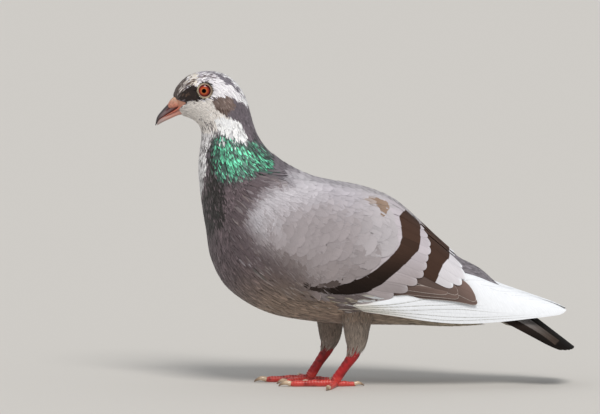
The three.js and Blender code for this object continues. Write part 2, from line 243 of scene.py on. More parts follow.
# Thigh: ovals from inside the flank (0) down to the feathered heel (5)
def thighAt(leg, s, turn):
    x, y, z, halfX, halfY = np.moveaxis(through(thighRows, s), -1, 0)
    heelX, heelY, heelZ = leg["heel"]
    at = [heelX + leg["side"] * (x + halfX * np.cos(turn)), heelY + y + halfY * np.sin(turn),
          heelZ + z + 0 * turn]
    return np.stack(at, -1)


# Where a surface lies at (u, v): the point, its steps along u and v, and the way out
def lieOf(surface, u, v, face=1, e=1e-3):
    stepU = (surface(u + e, v) - surface(u - e, v)) / (2 * e)
    stepV = (surface(u, v + e) - surface(u, v - e)) / (2 * e)
    return surface(u, v), stepU, stepV, face * unit(np.cross(stepV, stepU))


# Faces of a closed tube: rings of n points one after another, then a root point and a tip point
def tubeFaces(rings, n):
    r, k = grid(np.arange(rings - 1), np.arange(n))
    r, k = r.ravel(), k.ravel()
    after = (k + 1) % n
    quads = np.stack([r * n + k, r * n + after, (r + 1) * n + after, (r + 1) * n + k], -1)
    k = np.arange(n)
    root = np.stack([np.full(n, rings * n), (k + 1) % n, k], -1)
    last = (rings - 1) * n
    tip = np.stack([last + k, last + (k + 1) % n, np.full(n, rings * n + 1)], -1)
    return quads, np.vstack([root, tip])


# Six times the volume that the faces enclose; below zero the faces point inwards
def volumeOf(points, quads, tris):
    faces = np.vstack([quads[:, [0, 1, 2]], quads[:, [0, 2, 3]], tris])
    a, b, c = points[faces[:, 0]], points[faces[:, 1]], points[faces[:, 2]]
    return np.einsum("ij,ij->", a - points[0], np.cross(b - points[0], c - points[0]))


# One mesh object from points in mm, four-sided and three-sided faces, and values on points or
# corners. An edge between two rim points is sharp, so that a thin vane isn't shaded as a pebble
def makePiece(name, points, quads, tris, finish, slot, bake=None, rim=None, **values):
    points = points.reshape(-1, 3)
    if volumeOf(points, quads, tris) < 0:
        quads, tris = quads[:, ::-1], tris[:, ::-1]
        bake = None if bake is None else (bake[0][:, ::-1], bake[1][:, ::-1])
    mesh = bpy.data.meshes.new(name)
    mesh.vertices.add(len(points))
    mesh.vertices.foreach_set("co", (points * mm).astype(np.float32).ravel())
    mesh.loops.add(quads.size + tris.size)
    mesh.loops.foreach_set("vertex_index", np.concatenate([quads.ravel(), tris.ravel()]).astype(np.int32))
    mesh.polygons.add(len(quads) + len(tris))
    starts = np.concatenate([np.arange(len(quads)) * 4, quads.size + np.arange(len(tris)) * 3])
    mesh.polygons.foreach_set("loop_start", starts.astype(np.int32))
    mesh.update(calc_edges=True)
    mesh.shade_smooth()
    if rim is not None:
        ends = np.empty(len(mesh.edges) * 2, np.int32)
        mesh.edges.foreach_get("vertices", ends)
        sharp = mesh.attributes.new("sharp_edge", "BOOLEAN", "EDGE")
        sharp.data.foreach_set("value", rim[ends.reshape(-1, 2)].all(1))
    for key, value in values.items():
        setValue(mesh, key, value)
    if bake is not None:
        corners = np.concatenate([bake[0].reshape(-1, 2), bake[1].reshape(-1, 2)])
        layer = mesh.uv_layers.new(name="OFBake")
        layer.uv.foreach_set("vector", corners.astype(np.float32).ravel())
    mesh.validate()
    return addObject(name, mesh, finish)


# A value on each point, read by the materials under its name
def setValue(mesh, key, value):
    kind = {1: "FLOAT", 3: "FLOAT_VECTOR", 4: "FLOAT_COLOR"}[1 if value.ndim == 1 else value.shape[-1]]
    field = {"FLOAT": "value", "FLOAT_VECTOR": "vector", "FLOAT_COLOR": "color"}[kind]
    layer = mesh.attributes.new(key, kind, "POINT")
    layer.data.foreach_set(field, value.astype(np.float32).ravel())


# A new object in the scene
def newObject(name, data):
    made = bpy.data.objects.new(name, data)
    bpy.context.scene.collection.objects.link(made)
    return made


# An object for a mesh, riding on the one body
def addObject(name, mesh, finish):
    piece = newObject(name, mesh)
    mesh.materials.append(finish)
    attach(piece, "root")
    return piece


# Linear colour with a fourth value of 1
def withAlpha(colour):
    return np.concatenate([linear(colour), np.ones(colour.shape[:-1] + (1,))], -1)


# A closed tube from rings (rings, n, 3), with its chart as the bake map inside the box given
def tubeMesh(rings, box=(0.02, 0.02, 0.98, 0.98)):
    count, n = rings.shape[:2]
    points = np.vstack([rings.reshape(-1, 3), rings[0].mean(0), rings[-1].mean(0)])
    quads, tris = tubeFaces(count, n)
    r, k = grid(np.arange(count - 1), np.arange(n))
    r, k = r.ravel(), k.ravel()
    quadUv = cornersAt((r, k), (r, k + 1), (r + 1, k + 1), (r + 1, k))
    k = np.arange(n)
    start = cornersAt((0 * k - 0.5, k + 0.5), (0 * k, k + 1), (0 * k, k))
    end = cornersAt((0 * k, k), (0 * k, k + 1), (0 * k + 0.5, k + 0.5))
    end = end + np.array([count - 1, 0])
    low, size = np.array(box[:2]), np.array(box[2:]) - np.array(box[:2])
    fit = lambda uv: low + size * (uv + [0.5, 0]) / [count, n]
    return points, quads, tris, (fit(quadUv), fit(np.vstack([start, end])))


# Patches of colour in side view, laid on in order. Each has a colour, how far its edge fades either
# way, how many of its feathers take the colour, and an outline of (y, z) points; the fading edge and
# a thin cover both show as a scatter of single feathers
patches = {
    # the foreneck's own dark streaks, carried on down the breast's front edge as painted shade
    "foreneckDarkAndShade": (rgb(46, 42, 41), 6.0, 0.72, [
        (-109, 176), (-100, 174), (-95, 166), (-97, 156), (-98, 142), (-96, 128), (-98, 112), (-106, 100),
        (-116, 110), (-113, 130), (-110, 142)]),
    "greenGround": (rgb(78, 104, 96), 5.0, 0.92, [
        (-105, 172), (-95, 173), (-84, 167), (-76, 168), (-67, 161), (-59, 153), (-60, 149), (-70, 148),
        (-81, 146), (-90, 143), (-100, 143), (-104, 148)]),
    "foreneck": (rgb(222, 220, 222), 2.6, 0.86, [
        (-113, 182), (-103, 181), (-101.5, 175), (-106, 170), (-108.6, 163), (-109.6, 153), (-111, 142),
        (-113, 131), (-115, 127), (-122, 130), (-122, 175)]),
    "cheek": (rgb(229, 223, 218), 1.6, 1.1, [
        (-134, 192), (-125.7, 192.8), (-121, 196.5), (-114, 198.2), (-105.7, 199), (-103, 195.8),
        (-101.5, 192.4), (-99.5, 189), (-94.7, 186), (-94, 183.5), (-100, 179), (-104, 175.5), (-110, 174),
        (-116, 176), (-134, 180)]),
    "neckSide": (rgb(245, 246, 249), 2.0, 1.1, [
        (-103, 184), (-98, 185.2), (-91, 184), (-85.8, 182.6), (-84, 178), (-81, 171.3), (-83, 168),
        (-88, 169.6), (-93, 171), (-98, 174), (-102, 178)]),
    "neckFringe": (rgb(236, 239, 240), 3.0, 0.34, [
        (-104, 177), (-82, 174), (-81, 164), (-90, 160), (-101, 167)]),
    "throatStreaks": (rgb(118, 113, 114), 2.5, 0.36, [
        (-113, 186), (-99, 183), (-100, 172), (-108, 160), (-114, 150), (-118, 170)]),
    "crown": (rgb(238, 235, 240), 1.0, 1.1, [
        (-124, 224), (-106, 226), (-90, 220), (-82, 207), (-80, 198), (-86.4, 196), (-90.5, 198.1),
        (-94.7, 199.5), (-104.3, 198), (-108.5, 196.5), (-114, 197.5), (-118, 203), (-122, 206),
        (-124, 212)]),
    "crownGrey": (rgb(168, 163, 172), 2.0, 0.4, [
        (-119, 217), (-108, 222), (-101, 220), (-103, 210), (-110, 211.5), (-117, 209)]),
    "browMottle": (rgb(122, 112, 116), 1.5, 0.5, [
        (-116, 213.5), (-106, 217), (-101, 213), (-103, 208.5), (-106, 211), (-113, 210.5)]),
    "creamBrow": (rgb(228, 220, 208), 1.6, 0.66, [
        (-123, 207), (-121.5, 218), (-115, 218), (-115.5, 209), (-118, 206)]),
    "browStreaks": (rgb(104, 88, 80), 2.0, 0.44, [
        (-124, 205), (-122, 215), (-117, 217), (-115, 211), (-116.5, 205.5), (-119, 204.5)]),
    "forehead": (rgb(96, 84, 79), 1.3, 0.84, [
        (-134, 198), (-131.5, 207.5), (-126.5, 214.5), (-122, 219), (-120, 216.5), (-122.6, 211.5),
        (-124.4, 207), (-123.5, 203), (-126, 199)]),
    "foreheadFlecks": (rgb(196, 188, 184), 1.6, 0.5, [
        (-130, 200), (-128.5, 206), (-124.5, 212), (-121.5, 210), (-122.5, 204.5), (-125.5, 201)]),
    "hindCrown": (rgb(122, 117, 126), 1.0, 1.0, [
        (-106, 219), (-97, 220), (-89, 214), (-83, 206.5), (-79, 198), (-83.5, 196.6), (-87.5, 202.4),
        (-91.5, 206.4), (-96, 208.6), (-100, 212.4), (-104, 215.6)]),
    "hindFlecks": (rgb(240, 240, 243), 1.6, 0.62, [
        (-103, 224), (-90, 220), (-79, 210), (-74, 197), (-80.5, 191.5), (-84.8, 196), (-87.4, 204),
        (-93, 210.9), (-102.4, 215.5)]),
    "earPatch": (rgb(116, 99, 93), 1.0, 1.02, [
        (-105, 196.7), (-99.9, 199.3), (-93.7, 199.8), (-91.2, 198.6), (-89, 193.3), (-92.5, 189.6),
        (-95.8, 187.2), (-99.6, 189.2), (-103, 192)]),
    "earShade": (rgb(84, 68, 62), 1.2, 0.6, [
        (-103.5, 193), (-99, 192.5), (-93.5, 191.6), (-92.8, 188.6), (-95.8, 186.4), (-99.8, 188.4)]),
    "earStreaks": (rgb(146, 130, 124), 1.5, 0.34, [
        (-104, 196), (-99.5, 198), (-93.5, 198.5), (-91, 196), (-94, 191), (-99.6, 191), (-102, 193)]),
    "lore": (rgb(42, 32, 29), 2.0, 0.98, [
        (-129.2, 198.6), (-127, 201.6), (-124.6, 203.6), (-122, 206.8), (-117.5, 208), (-114.4, 205),
        (-113.8, 200.6), (-109, 199.8), (-105.6, 201.2), (-105.4, 199.6), (-109, 198), (-114.6, 197),
        (-119, 196.8), (-123.2, 196.6), (-127.4, 196.8)]),
    "loreFlecks": (rgb(92, 72, 60), 1.6, 0.3, [
        (-128.5, 199), (-125, 204), (-121, 207.5), (-116, 208), (-114.5, 201), (-119, 198.4), (-124, 198)]),
    "lidLine": (rgb(92, 82, 78), 0.7, 0.75, [
        (-105.6, 201), (-104.2, 205), (-105, 208.6), (-107.6, 211), (-111, 212), (-111, 210.6),
        (-108.2, 209.8), (-106, 207.6), (-105.2, 204.8), (-106.4, 202)]),
}


# Signed distance in side view from a closed outline of (y, z) points, above 0 inside it
def insideOf(p, outline):
    outline = np.asarray(outline, float)
    y, z = p[..., 1], p[..., 2]
    nearest = np.full(y.shape, 1e9)
    inside = np.zeros(y.shape, bool)
    for (ay, az), (by, bz) in zip(outline, np.roll(outline, -1, 0)):
        f = np.clip(((y - ay) * (by - ay) + (z - az) * (bz - az)) / ((by - ay) ** 2 + (bz - az) ** 2), 0, 1)
        nearest = np.minimum(nearest, np.hypot(y - mix(ay, by, f), z - mix(az, bz, f)))
        inside ^= ((az > z) != (bz > z)) & (y < (by - ay) * (z - az) / (bz - az + 1e-12) + ay)
    return np.where(inside, nearest, -nearest)


bodyShades = {
    "neck": rgb(104, 96, 103), "breast": rgb(98, 86, 90), "belly": rgb(142, 124, 110),
    "vent": rgb(160, 148, 128), "mantle": rgb(122, 115, 122), "rump": rgb(118, 113, 119),
}


# Body colour at points: a ground that shifts from breast to vent and back, then the patches. Each
# feather of a coat takes or leaves a patch by a number of its own; bare points take it by noise
def bodyColour(p, single=False):
    y, z = p[..., 1], p[..., 2]
    backLine = np.interp(y, [-75, -58, -28, 7, 37, 66], [176, 154, 141, 129, 105, 87])
    colour = np.ones(p.shape) * bodyShades["neck"]
    colour = lay(colour, bodyShades["breast"], smooth(160, 138, z))
    colour = lay(colour, bodyShades["belly"], smooth(96, 50, z) * smooth(-110, -60, y))
    colour = lay(colour, bodyShades["vent"], smooth(-10, 60, y) * smooth(66, 48, z))
    colour = lay(colour, bodyShades["mantle"], smooth(-70, -46, y) * smooth(-14, -2, z - backLine))
    colour = lay(colour, bodyShades["rump"], smooth(30, 50, y) * smooth(52, 66, z))
    for number, (patchColour, soft, share, outline) in enumerate(patches.values()):
        clump = 0.5 + 0.62 * drift(p, 1.7, 7.3 * number)
        pick = 0.5 * clump + 0.5 * chance.random(y.shape) if single else clump
        cover = smooth(-soft, soft, insideOf(p, outline)) * share
        taken = smooth(-0.05, 0.05, cover - np.clip(pick, 0.02, 0.98))
        colour = lay(colour, patchColour, taken)
    return colour


# Outlines in side view of the wing's two dark bars, of a buff patch on its shoulder feathers and of
# what lies ahead of its front edge
wingMarks = {
    "barOne": [(22.8, 118.8), (24.6, 110.9), (25.1, 105.5), (22.9, 99.9), (19.5, 94.8), (13.7, 89.6),
               (5.6, 83.0), (-2.4, 78.3), (-9.9, 75.4), (-17.5, 72.3), (-26.9, 71.3), (-40, 74.0),
               (-41, 70.4), (-27, 66.2), (-10, 66.0), (1, 67.8), (11.3, 72.8), (21.8, 81.7), (31, 90.7),
               (36.7, 96.2), (37.9, 104.8), (38, 112), (33, 121.5), (27, 122.5)],
    "barTwo": [(20, 135), (34, 100), (34, 84), (26, 68), (16, 55), (40, 55), (46.5, 71.4), (50.6, 80.1),
               (53.4, 85.5), (57.5, 89.6), (58.5, 95), (54, 108), (44, 125)],
    "buff": [(5.5, 131.4), (10, 130.8), (15, 127.8), (18.2, 123.6), (17.2, 121.2), (13.5, 121.6), (9, 124.6)],
    "lead": [(-34, 162), (-44, 148.5), (-63, 141.5), (-75, 131.5), (-82, 119), (-81.5, 106), (-74, 95),
             (-58, 82), (-40, 69), (-40, 40), (-140, 40), (-140, 170), (-36, 170)],
}
# Wing tones: arc and shoulder are paler, and lower, front, paleLow and barLow darker, in part as painted
# light from above and painted shade below; edge is a painted shadow line along the primaries' edges
shade = {
    "arc": rgb(197, 193, 199), "shoulder": rgb(185, 180, 187), "covert": rgb(165, 157, 160),
    "rear": rgb(186, 181, 185), "lower": rgb(152, 143, 144), "front": rgb(116, 106, 105),
    "bar": rgb(68, 49, 40), "barLow": rgb(32, 23, 19), "pale": rgb(190, 183, 189),
    "paleLow": rgb(164, 154, 155), "tip": rgb(214, 211, 216), "quill": rgb(106, 89, 83),
    "rim": rgb(178, 166, 160), "buff": rgb(150, 127, 110), "white": rgb(240, 243, 248),
    "edge": rgb(150, 150, 142), "cream": rgb(206, 196, 176),
}


# Covert colour at points on the wing: paler on the shoulder and along the front arc, darker and browner low
# down and at the lower front, partly the wing's own tone and partly painted light from above and painted
# shade below; then the first bar and the buff patch; ahead of the front edge it is the breast's own colour
def covertColour(p, single=False):
    y, z = p[..., 1], p[..., 2]
    pick = chance.uniform(-1.3, 1.3, y.shape) if single else 0
    ahead = insideOf(p, wingMarks["lead"]) + 2.2 * drift(p, 5, 8) + pick
    # in part painted light on the shoulder and front arc, and painted shade low down and at the lower front
    colour = lay(shade["covert"], shade["shoulder"], smooth(112, 137, z + 5 * drift(p, 22, 3)))
    colour = lay(colour, shade["rear"], smooth(-12, 14, y) * smooth(80, 94, z))
    colour = lay(colour, shade["lower"], smooth(102, 78, z + pick) * smooth(16, -4, y))
    colour = lay(colour, shade["arc"], smooth(-26, -9, ahead) * smooth(98, 116, z))
    colour = lay(colour, shade["front"], smooth(-26, -44, y + 0.55 * (z - 72)) * smooth(104, 84, z) * 0.9)
    soft = np.interp(z, [84, 112], [11, 8.5])
    colour = lay(colour, bodyColour(p), smooth(-1, 0.5, ahead / soft))
    onBar = smooth(-0.4, 0.6, insideOf(p, wingMarks["barOne"]) + 0.3 * pick) * smooth(-12, -18, y)
    colour = lay(colour, shade["barLow"] * 1.3, onBar)
    onBuff = smooth(-0.6, 0.6, insideOf(p, wingMarks["buff"]) + 0.2 * pick) * (np.abs(p[..., 0]) > 22)
    return lay(colour, shade["buff"], onBuff)


# A material with its plain sockets set; an underscore stands for a space
def newFinish(name, roughness, **sockets):
    finish = bpy.data.materials.new(name)
    finish.use_nodes = True
    shader = finish.node_tree.nodes["Principled BSDF"]
    shader.inputs["Roughness"].default_value = roughness
    for key, value in sockets.items():
        shader.inputs[key.replace("_", " ")].default_value = value
    return finish, finish.node_tree, shader


# A node with its sockets or else its settings set
def addNode(tree, kind, **settings):
    node = tree.nodes.new(kind)
    for key, value in settings.items():
        if key in node.inputs.keys():
            node.inputs[key].default_value = value
        else:
            setattr(node, key, value)
    return node


# A link from an output socket to an input socket
def join(tree, output, socket):
    tree.links.new(output, socket)


# The outputs of a value stored on the mesh
def attribute(tree, name):
    return addNode(tree, "ShaderNodeAttribute", attribute_name=name).outputs


# A maths node between sockets or numbers
def maths(tree, operation, a, b=None):
    node = tree.nodes.new("ShaderNodeMath")
    node.operation = operation
    for socket, value in zip(node.inputs, (a, b)):
        if value is None:
            continue
        if isinstance(value, (int, float)):
            socket.default_value = value
        else:
            join(tree, value, socket)
    return node.outputs[0]


# A socket's value moved from one range to another, held at both ends
def mapRange(tree, value, low, high, toLow, toHigh):
    node = addNode(tree, "ShaderNodeMapRange")
    for key, number in (("From Min", low), ("From Max", high), ("To Min", toLow), ("To Max", toHigh)):
        node.inputs[key].default_value = number
    join(tree, value, node.inputs["Value"])
    return node.outputs[0]


# Base colour as a tint times a level, and a bump of the given depth in mm that follows the grain
def coverWith(tree, shader, tint, level, grain, strength, depth):
    shaded = addNode(tree, "ShaderNodeVectorMath", operation="SCALE")
    join(tree, tint, shaded.inputs[0])
    join(tree, level, shaded.inputs["Scale"])
    join(tree, shaded.outputs[0], shader.inputs["Base Color"])
    bump = addNode(tree, "ShaderNodeBump", Strength=strength, Distance=depth * mm)
    join(tree, grain, bump.inputs["Height"])
    join(tree, bump.outputs[0], shader.inputs["Normal"])


# Feathers: the tint of each vane, streaked along its barbs, which slant away from the shaft.
# "lie" holds millimetres across and along the vane and a number of its own. On a banded finish a
# second tint takes over, sharply, where "band" rises over 0 mm, and the shaft shows as a line
def featherFinish(name, barbs, streak, bumpDepth, roughness=0.75, sheen=0.2, glint=0.25, metal=False,
                  banded=False):
    finish, tree, shader = newFinish(name, roughness, Sheen_Weight=sheen, Sheen_Roughness=0.5,
                                     Specular_IOR_Level=glint)
    tint = attribute(tree, "tint")["Color"]
    lie = attribute(tree, "lie")
    parts = addNode(tree, "ShaderNodeSeparateXYZ")
    join(tree, lie["Vector"], parts.inputs[0])
    across = maths(tree, "ABSOLUTE", parts.outputs["X"])
    slant = maths(tree, "SUBTRACT", parts.outputs["Y"], maths(tree, "MULTIPLY", across, 0.9))
    place = addNode(tree, "ShaderNodeCombineXYZ")
    join(tree, maths(tree, "MULTIPLY", slant, barbs), place.inputs["X"])
    join(tree, maths(tree, "MULTIPLY", parts.outputs["X"], barbs * 0.12), place.inputs["Y"])
    join(tree, maths(tree, "MULTIPLY", parts.outputs["Z"], 91.7), place.inputs["Z"])
    grain = addNode(tree, "ShaderNodeTexNoise", Scale=1.0, Detail=2.0, Roughness=0.6)
    join(tree, place.outputs[0], grain.inputs["Vector"])
    level = mapRange(tree, grain.outputs["Fac"], 0.3, 0.7, 1 - streak, 1 + streak)
    if banded:
        band, second = attribute(tree, "band")["Fac"], attribute(tree, "tintTwo")["Color"]
        ragged = maths(tree, "MULTIPLY", maths(tree, "SUBTRACT", grain.outputs["Fac"], 0.5), 0.7)
        over = mapRange(tree, maths(tree, "ADD", band, ragged), -0.2, 0.2, 0, 1)
        tints = addNode(tree, "ShaderNodeMix", data_type="RGBA")
        join(tree, over, tints.inputs["Factor"])
        join(tree, tint, tints.inputs["A"])
        join(tree, second, tints.inputs["B"])
        tint = tints.outputs["Result"]
        level = maths(tree, "MULTIPLY", level, mapRange(tree, across, 0.1, 0.35, 0.86, 1))
    coverWith(tree, shader, tint, level, grain.outputs["Fac"], 0.6, bumpDepth)
    if metal:
        gloss = attribute(tree, "gloss")["Fac"]
        join(tree, gloss, shader.inputs["Metallic"])
        join(tree, mapRange(tree, gloss, 0, 1, roughness, 0.3), shader.inputs["Roughness"])
    return finish


# Skin, horn and scale: the tint of each point under a fine grain, with a pitted or ridged bump
def skinFinish(name, grainSize, grainDepth, contrast, roughness, **sockets):
    finish, tree, shader = newFinish(name, roughness, **sockets)
    place = addNode(tree, "ShaderNodeTexCoord")
    grain = addNode(tree, "ShaderNodeTexNoise", Scale=1 / (grainSize * mm), Detail=4.0, Roughness=0.6)
    join(tree, place.outputs["Object"], grain.inputs["Vector"])
    level = mapRange(tree, grain.outputs["Fac"], 0.25, 0.75, 1 - contrast, 1 + contrast)
    coverWith(tree, shader, attribute(tree, "tint")["Color"], level, grain.outputs["Fac"], 0.7, grainDepth)
    return finish


downFinish = featherFinish("softFeather", 2.2, 0.14, 0.15)
headFinish = featherFinish("headFeather", 2.4, 0.1, 0.08)
neckFinish = featherFinish("neckFeather", 2.4, 0.16, 0.12, roughness=0.62, metal=True)
covertFinish = featherFinish("wingFeather", 1.6, 0.045, 0.06, roughness=0.75, sheen=0.12, glint=0.15)
quillFinish = featherFinish("flightFeather", 1.6, 0.05, 0.06, roughness=0.75, sheen=0.0, glint=0.12,
                            banded=True)
coatSkinFinish = skinFinish("featheredSkin", 0.8, 0.3, 0.15, 0.8)
bareFinish = skinFinish("bareSkin", 0.35, 0.2, 0.14, 0.5, Subsurface_Weight=0.15, Subsurface_Scale=0.001)
hornFinish = skinFinish("billHorn", 1.2, 0.05, 0.1, 0.33, Coat_Weight=0.2)
scaleFinish = skinFinish("legScales", 0.5, 0.1, 0.16, 0.36, Subsurface_Weight=0.1, Subsurface_Scale=0.001)
print("finishes made")


# Outlines of a vane: places of its rows along its length and its half width there, root and tip
# being points. "columns" is how many points each row has over its top
broadVane = {"t": [0.08, 0.3, 0.55, 0.76, 0.9, 0.975], "w": [0.25, 0.8, 1.0, 0.94, 0.68, 0.34], "columns": 3}
softVane = {"t": [0.1, 0.4, 0.7, 0.9], "w": [0.4, 1.0, 0.9, 0.5], "columns": 3}
fineVane = {"t": [0.15, 0.5, 0.82], "w": [0.7, 1.0, 0.6], "columns": 3}


# The points of one vane in its own measure: along 0 to 1, across -1 to 1, half width, top or bottom
def vaneTemplate(shape):
    c = np.linspace(-1, 1, shape["columns"])
    ringC = np.concatenate([c, c[-2:0:-1]])
    ringH = np.concatenate([1 - c**2, -(1 - c[-2:0:-1] ** 2)])
    rows = len(shape["t"])
    along = np.concatenate([np.repeat(shape["t"], len(ringC)), [0, 1]])
    across = np.concatenate([np.tile(ringC, rows), [0, 0]])
    half = np.concatenate([np.repeat(shape["w"], len(ringC)), [0, 0]])
    height = np.concatenate([np.tile(ringH, rows), [0, 0]])
    quads, tris = tubeFaces(rows, len(ringC))
    under = np.concatenate([np.tile(np.arange(len(ringC)) >= shape["columns"] - 1, rows - 1)])
    underTris = np.tile(np.arange(len(ringC)) >= shape["columns"] - 1, 2)
    rim = np.concatenate([np.tile(np.abs(ringC) == 1, rows), [True, True]])
    return {"along": along, "across": across, "half": half, "height": height, "rim": rim,
            "quads": quads, "tris": tris, "under": under, "underTris": underTris}


# Lays vanes on a surface. Each one starts at (u, v), heads an angle away from +u towards +v, and
# follows the surface; its height over it goes from lift at the root to lift + tilt at the tip, less
# a hook that turns the tip down, and its +v edge stands higher by roll. Returns points (vanes, template, 3)
def layVanes(surface, u, v, shape, length, width, lift, tilt, thick, heading=0.0, roll=0.0, camber=0.0,
             curl=0.0, hook=0.0, face=1, e=1e-3):
    form = vaneTemplate(shape)
    column = lambda value: np.broadcast_to(np.asarray(value, float), u.shape)[:, None]
    _, stepU, stepV, _ = lieOf(surface, u, v, face, e)
    lengthU = sizeOf(stepU)
    ahead = unit(stepU)
    sideways = (stepV * ahead).sum(-1)
    aside = sizeOf(stepV - sideways[:, None] * ahead)
    a = form["along"] * column(length)
    b = form["across"] * form["half"] * column(width) + column(curl) * form["along"] ** 2 * column(length)
    turn = column(heading)
    alongU = a * np.cos(turn) - b * np.sin(turn)
    alongV = a * np.sin(turn) + b * np.cos(turn)
    dv = alongV / aside[:, None]
    du = (alongU - dv * sideways[:, None]) / lengthU[:, None]
    point, _, _, out = lieOf(surface, u[:, None] + du, v[:, None] + dv, face, e)
    body = form["height"] * np.sin(pi * np.clip(form["along"], 0.08, 0.94)) ** 0.5
    rise = column(lift) + column(tilt) * form["along"] + column(roll) * form["across"] * form["half"]
    rise = rise - column(hook) * smooth(0.78, 1.0, form["along"])
    rise = rise + column(thick) / 2 * body - column(camber) * (form["across"] * form["half"]) ** 2
    return point + out * rise[..., None], form, b


noBand = -9.0  # mm from a band, so far that none shows


# A coat: many vanes joined as one mesh, each with a small patch of the bake map at its root's place
class Coat:
    def __init__(self):
        self.batches = []

    def add(self, points, form, acrossMm, length, rootUv, colour, gloss=None, patch=(0.003, 0.003),
            second=None, band=None):
        vanes, size = points.shape[:2]
        second = colour if second is None else second
        band = np.full((vanes, size), noBand) if band is None else band
        lie = np.stack([acrossMm, form["along"] * np.broadcast_to(length, (vanes,))[:, None],
                        np.broadcast_to(chance.random((vanes, 1)), (vanes, size))], -1)
        gloss = np.zeros((vanes, size)) if gloss is None else np.broadcast_to(gloss, (vanes, size))
        shift = (np.arange(vanes) * size)[:, None, None]
        quads = (form["quads"] + shift).reshape(-1, 4)
        tris = (form["tris"] + shift).reshape(-1, 3)
        uvQuads, uvTris = form["quads"], form["tris"]
        if volumeOf(points.reshape(-1, 3), quads, tris) < 0:
            quads, tris, uvQuads, uvTris = [faces[:, ::-1] for faces in (quads, tris, uvQuads, uvTris)]
        across = form["across"] * form["half"]

        def place(index, under):
            top = 0.36 * across[index] - 0.12
            below = 0.1 * across[index] + 0.38
            local = np.stack([np.where(under[:, None], below, top), form["along"][index] - 0.5], -1)
            return rootUv[:, None, None, :] + (local * np.array(patch))[None]

        self.batches.append((points.reshape(-1, 3), quads, tris,
                             place(uvQuads, form["under"]).reshape(-1, 4, 2),
                             place(uvTris, form["underTris"]).reshape(-1, 3, 2), lie.reshape(-1, 3),
                             withAlpha(colour).reshape(-1, 4), gloss.reshape(-1),
                             withAlpha(second).reshape(-1, 4), band.reshape(-1), np.tile(form["rim"], vanes)))

    def build(self, name, finish, slot):
        shift = np.cumsum([0] + [len(b[0]) for b in self.batches[:-1]])
        whole = lambda k: np.concatenate([b[k] for b in self.batches])
        quads = np.concatenate([b[1] + s for b, s in zip(self.batches, shift)])
        tris = np.concatenate([b[2] + s for b, s in zip(self.batches, shift)])
        values = {"lie": whole(5), "tint": whole(6)}
        if finish == neckFinish:
            values["gloss"] = whole(7)
        if finish == quillFinish:
            values.update(tintTwo=whole(8), band=whole(9))
        piece = makePiece(name, whole(0), quads, tris, finish, slot, bake=(whole(3), whole(4)), rim=whole(10),
                          **values)
        print(name, 2 * len(quads) + len(tris), "triangles")
        return piece


# Length run at the start and after each step
def runOf(steps):
    return np.concatenate([[0], np.cumsum(steps)])


# Roots in staggered rows on a ring surface: rows a step apart along s, evenly spaced round each ring
def ringRoots(surface, start, end, step, gap, around=(0.0, 2 * pi)):
    line = np.linspace(start, end, 400)
    walk = sizeOf(np.diff(surface(line, 0 * line + pi / 2), axis=0))
    walk += sizeOf(np.diff(surface(line, 0 * line), axis=0))
    walk = runOf(walk / 2)
    rows = np.interp(np.arange(0, walk[-1], step), walk, line)
    found = []
    for number, s in enumerate(rows):
        turn = np.linspace(*around, 300)
        arc = runOf(sizeOf(np.diff(surface(0 * turn + s, turn), axis=0)))
        count = max(4, int(arc[-1] / gap))
        place = (np.arange(count) + 0.5 * (number % 2) + chance.uniform(-0.3, 0.3, count)) / count * arc[-1]
        found.append(np.stack([s + 0 * place, np.interp(place, arc, turn)], -1))
    u, v = np.vstack(found).T
    slip = np.abs(np.gradient(rows)).mean()
    return u + chance.uniform(-0.45, 0.45, len(u)) * slip, v


# Roots that lie well under the folded wing show nowhere and are left out
def coveredByWing(p, margin):
    y, z = p[..., 1], p[..., 2]
    rows = np.array(wing["arm"])
    top = np.interp(y, rows[:, 0], rows[:, 3]) - 2 - margin
    low = np.interp(y, rows[:, 0], rows[:, 5]) + margin
    inside = (y > -76 + margin) & (y < 64) & (z < top) & (z > low)
    rear = (y > 40) & (y < 120) & (z > 50) & (z < np.interp(y, [40, 68, 92, 120], [74, 76, 66, 58]))
    return inside & (np.abs(p[..., 0]) > 8) | rear & (np.abs(p[..., 0]) > 14)


# Left is the side towards +X
def sideName(side):
    return "Left" if side > 0 else "Right"


# Factors spread evenly about 1 by the share given
def jitter(count, share):
    return 1 + chance.uniform(-share, share, count)


# Colour of each vane, read from the markings at its root, varied from vane to vane, a little darker at its
# root, partly its own darker base and partly painted shade under the vanes over it, and paler along its tip
def vaneColour(colour, form, spread, rim=0.05):
    each = colour * (1 + chance.normal(0, spread, (len(colour), 1)))
    # darker towards the root, in part as painted shade
    shadeAlong = 1 - 0.1 * (1 - form["along"]) + rim * smooth(0.7, 1.0, form["along"])
    return each[:, None, :] * shadeAlong[:, None]


# Where each vane shows past the ones over it: on its shaft, near its tip
def tipsOf(points, form):
    at = np.argmin(np.abs(form["along"] - 0.84) + np.abs(form["across"]) - 0.1 * form["height"])
    return points[:, at]


# The body's chart: station along the map, turn up it
def bodyUv(s, turn):
    return np.stack([0.02 + 0.96 * s / body["last"], 0.02 + 0.96 * (turn % (2 * pi)) / (2 * pi)], -1)


# Station and turn of the place on the trunk nearest to each point, picked from a fine grid on it
def nearestOnBody(p):
    s, turn = grid(np.linspace(7, 18, 111), np.linspace(0, 2 * pi, 241))
    places = bodyAt(s, turn).reshape(-1, 3).astype(np.float32)
    nearest = np.argmin((places**2).sum(-1) - 2 * p.astype(np.float32) @ places.T, axis=-1)
    return s.ravel()[nearest], turn.ravel()[nearest]


# Feather edge of the face: in front of it the skin is bare
def bareFace(p):
    edge = np.interp(p[..., 2], [184, 187.1, 189, 191, 193, 194.8, 196, 197, 198.7, 200],
                     [-134.4, -133.9, -131.4, -128.6, -126, -123.8, -124, -128.4, -132, -133.4])
    return p[..., 1] < edge


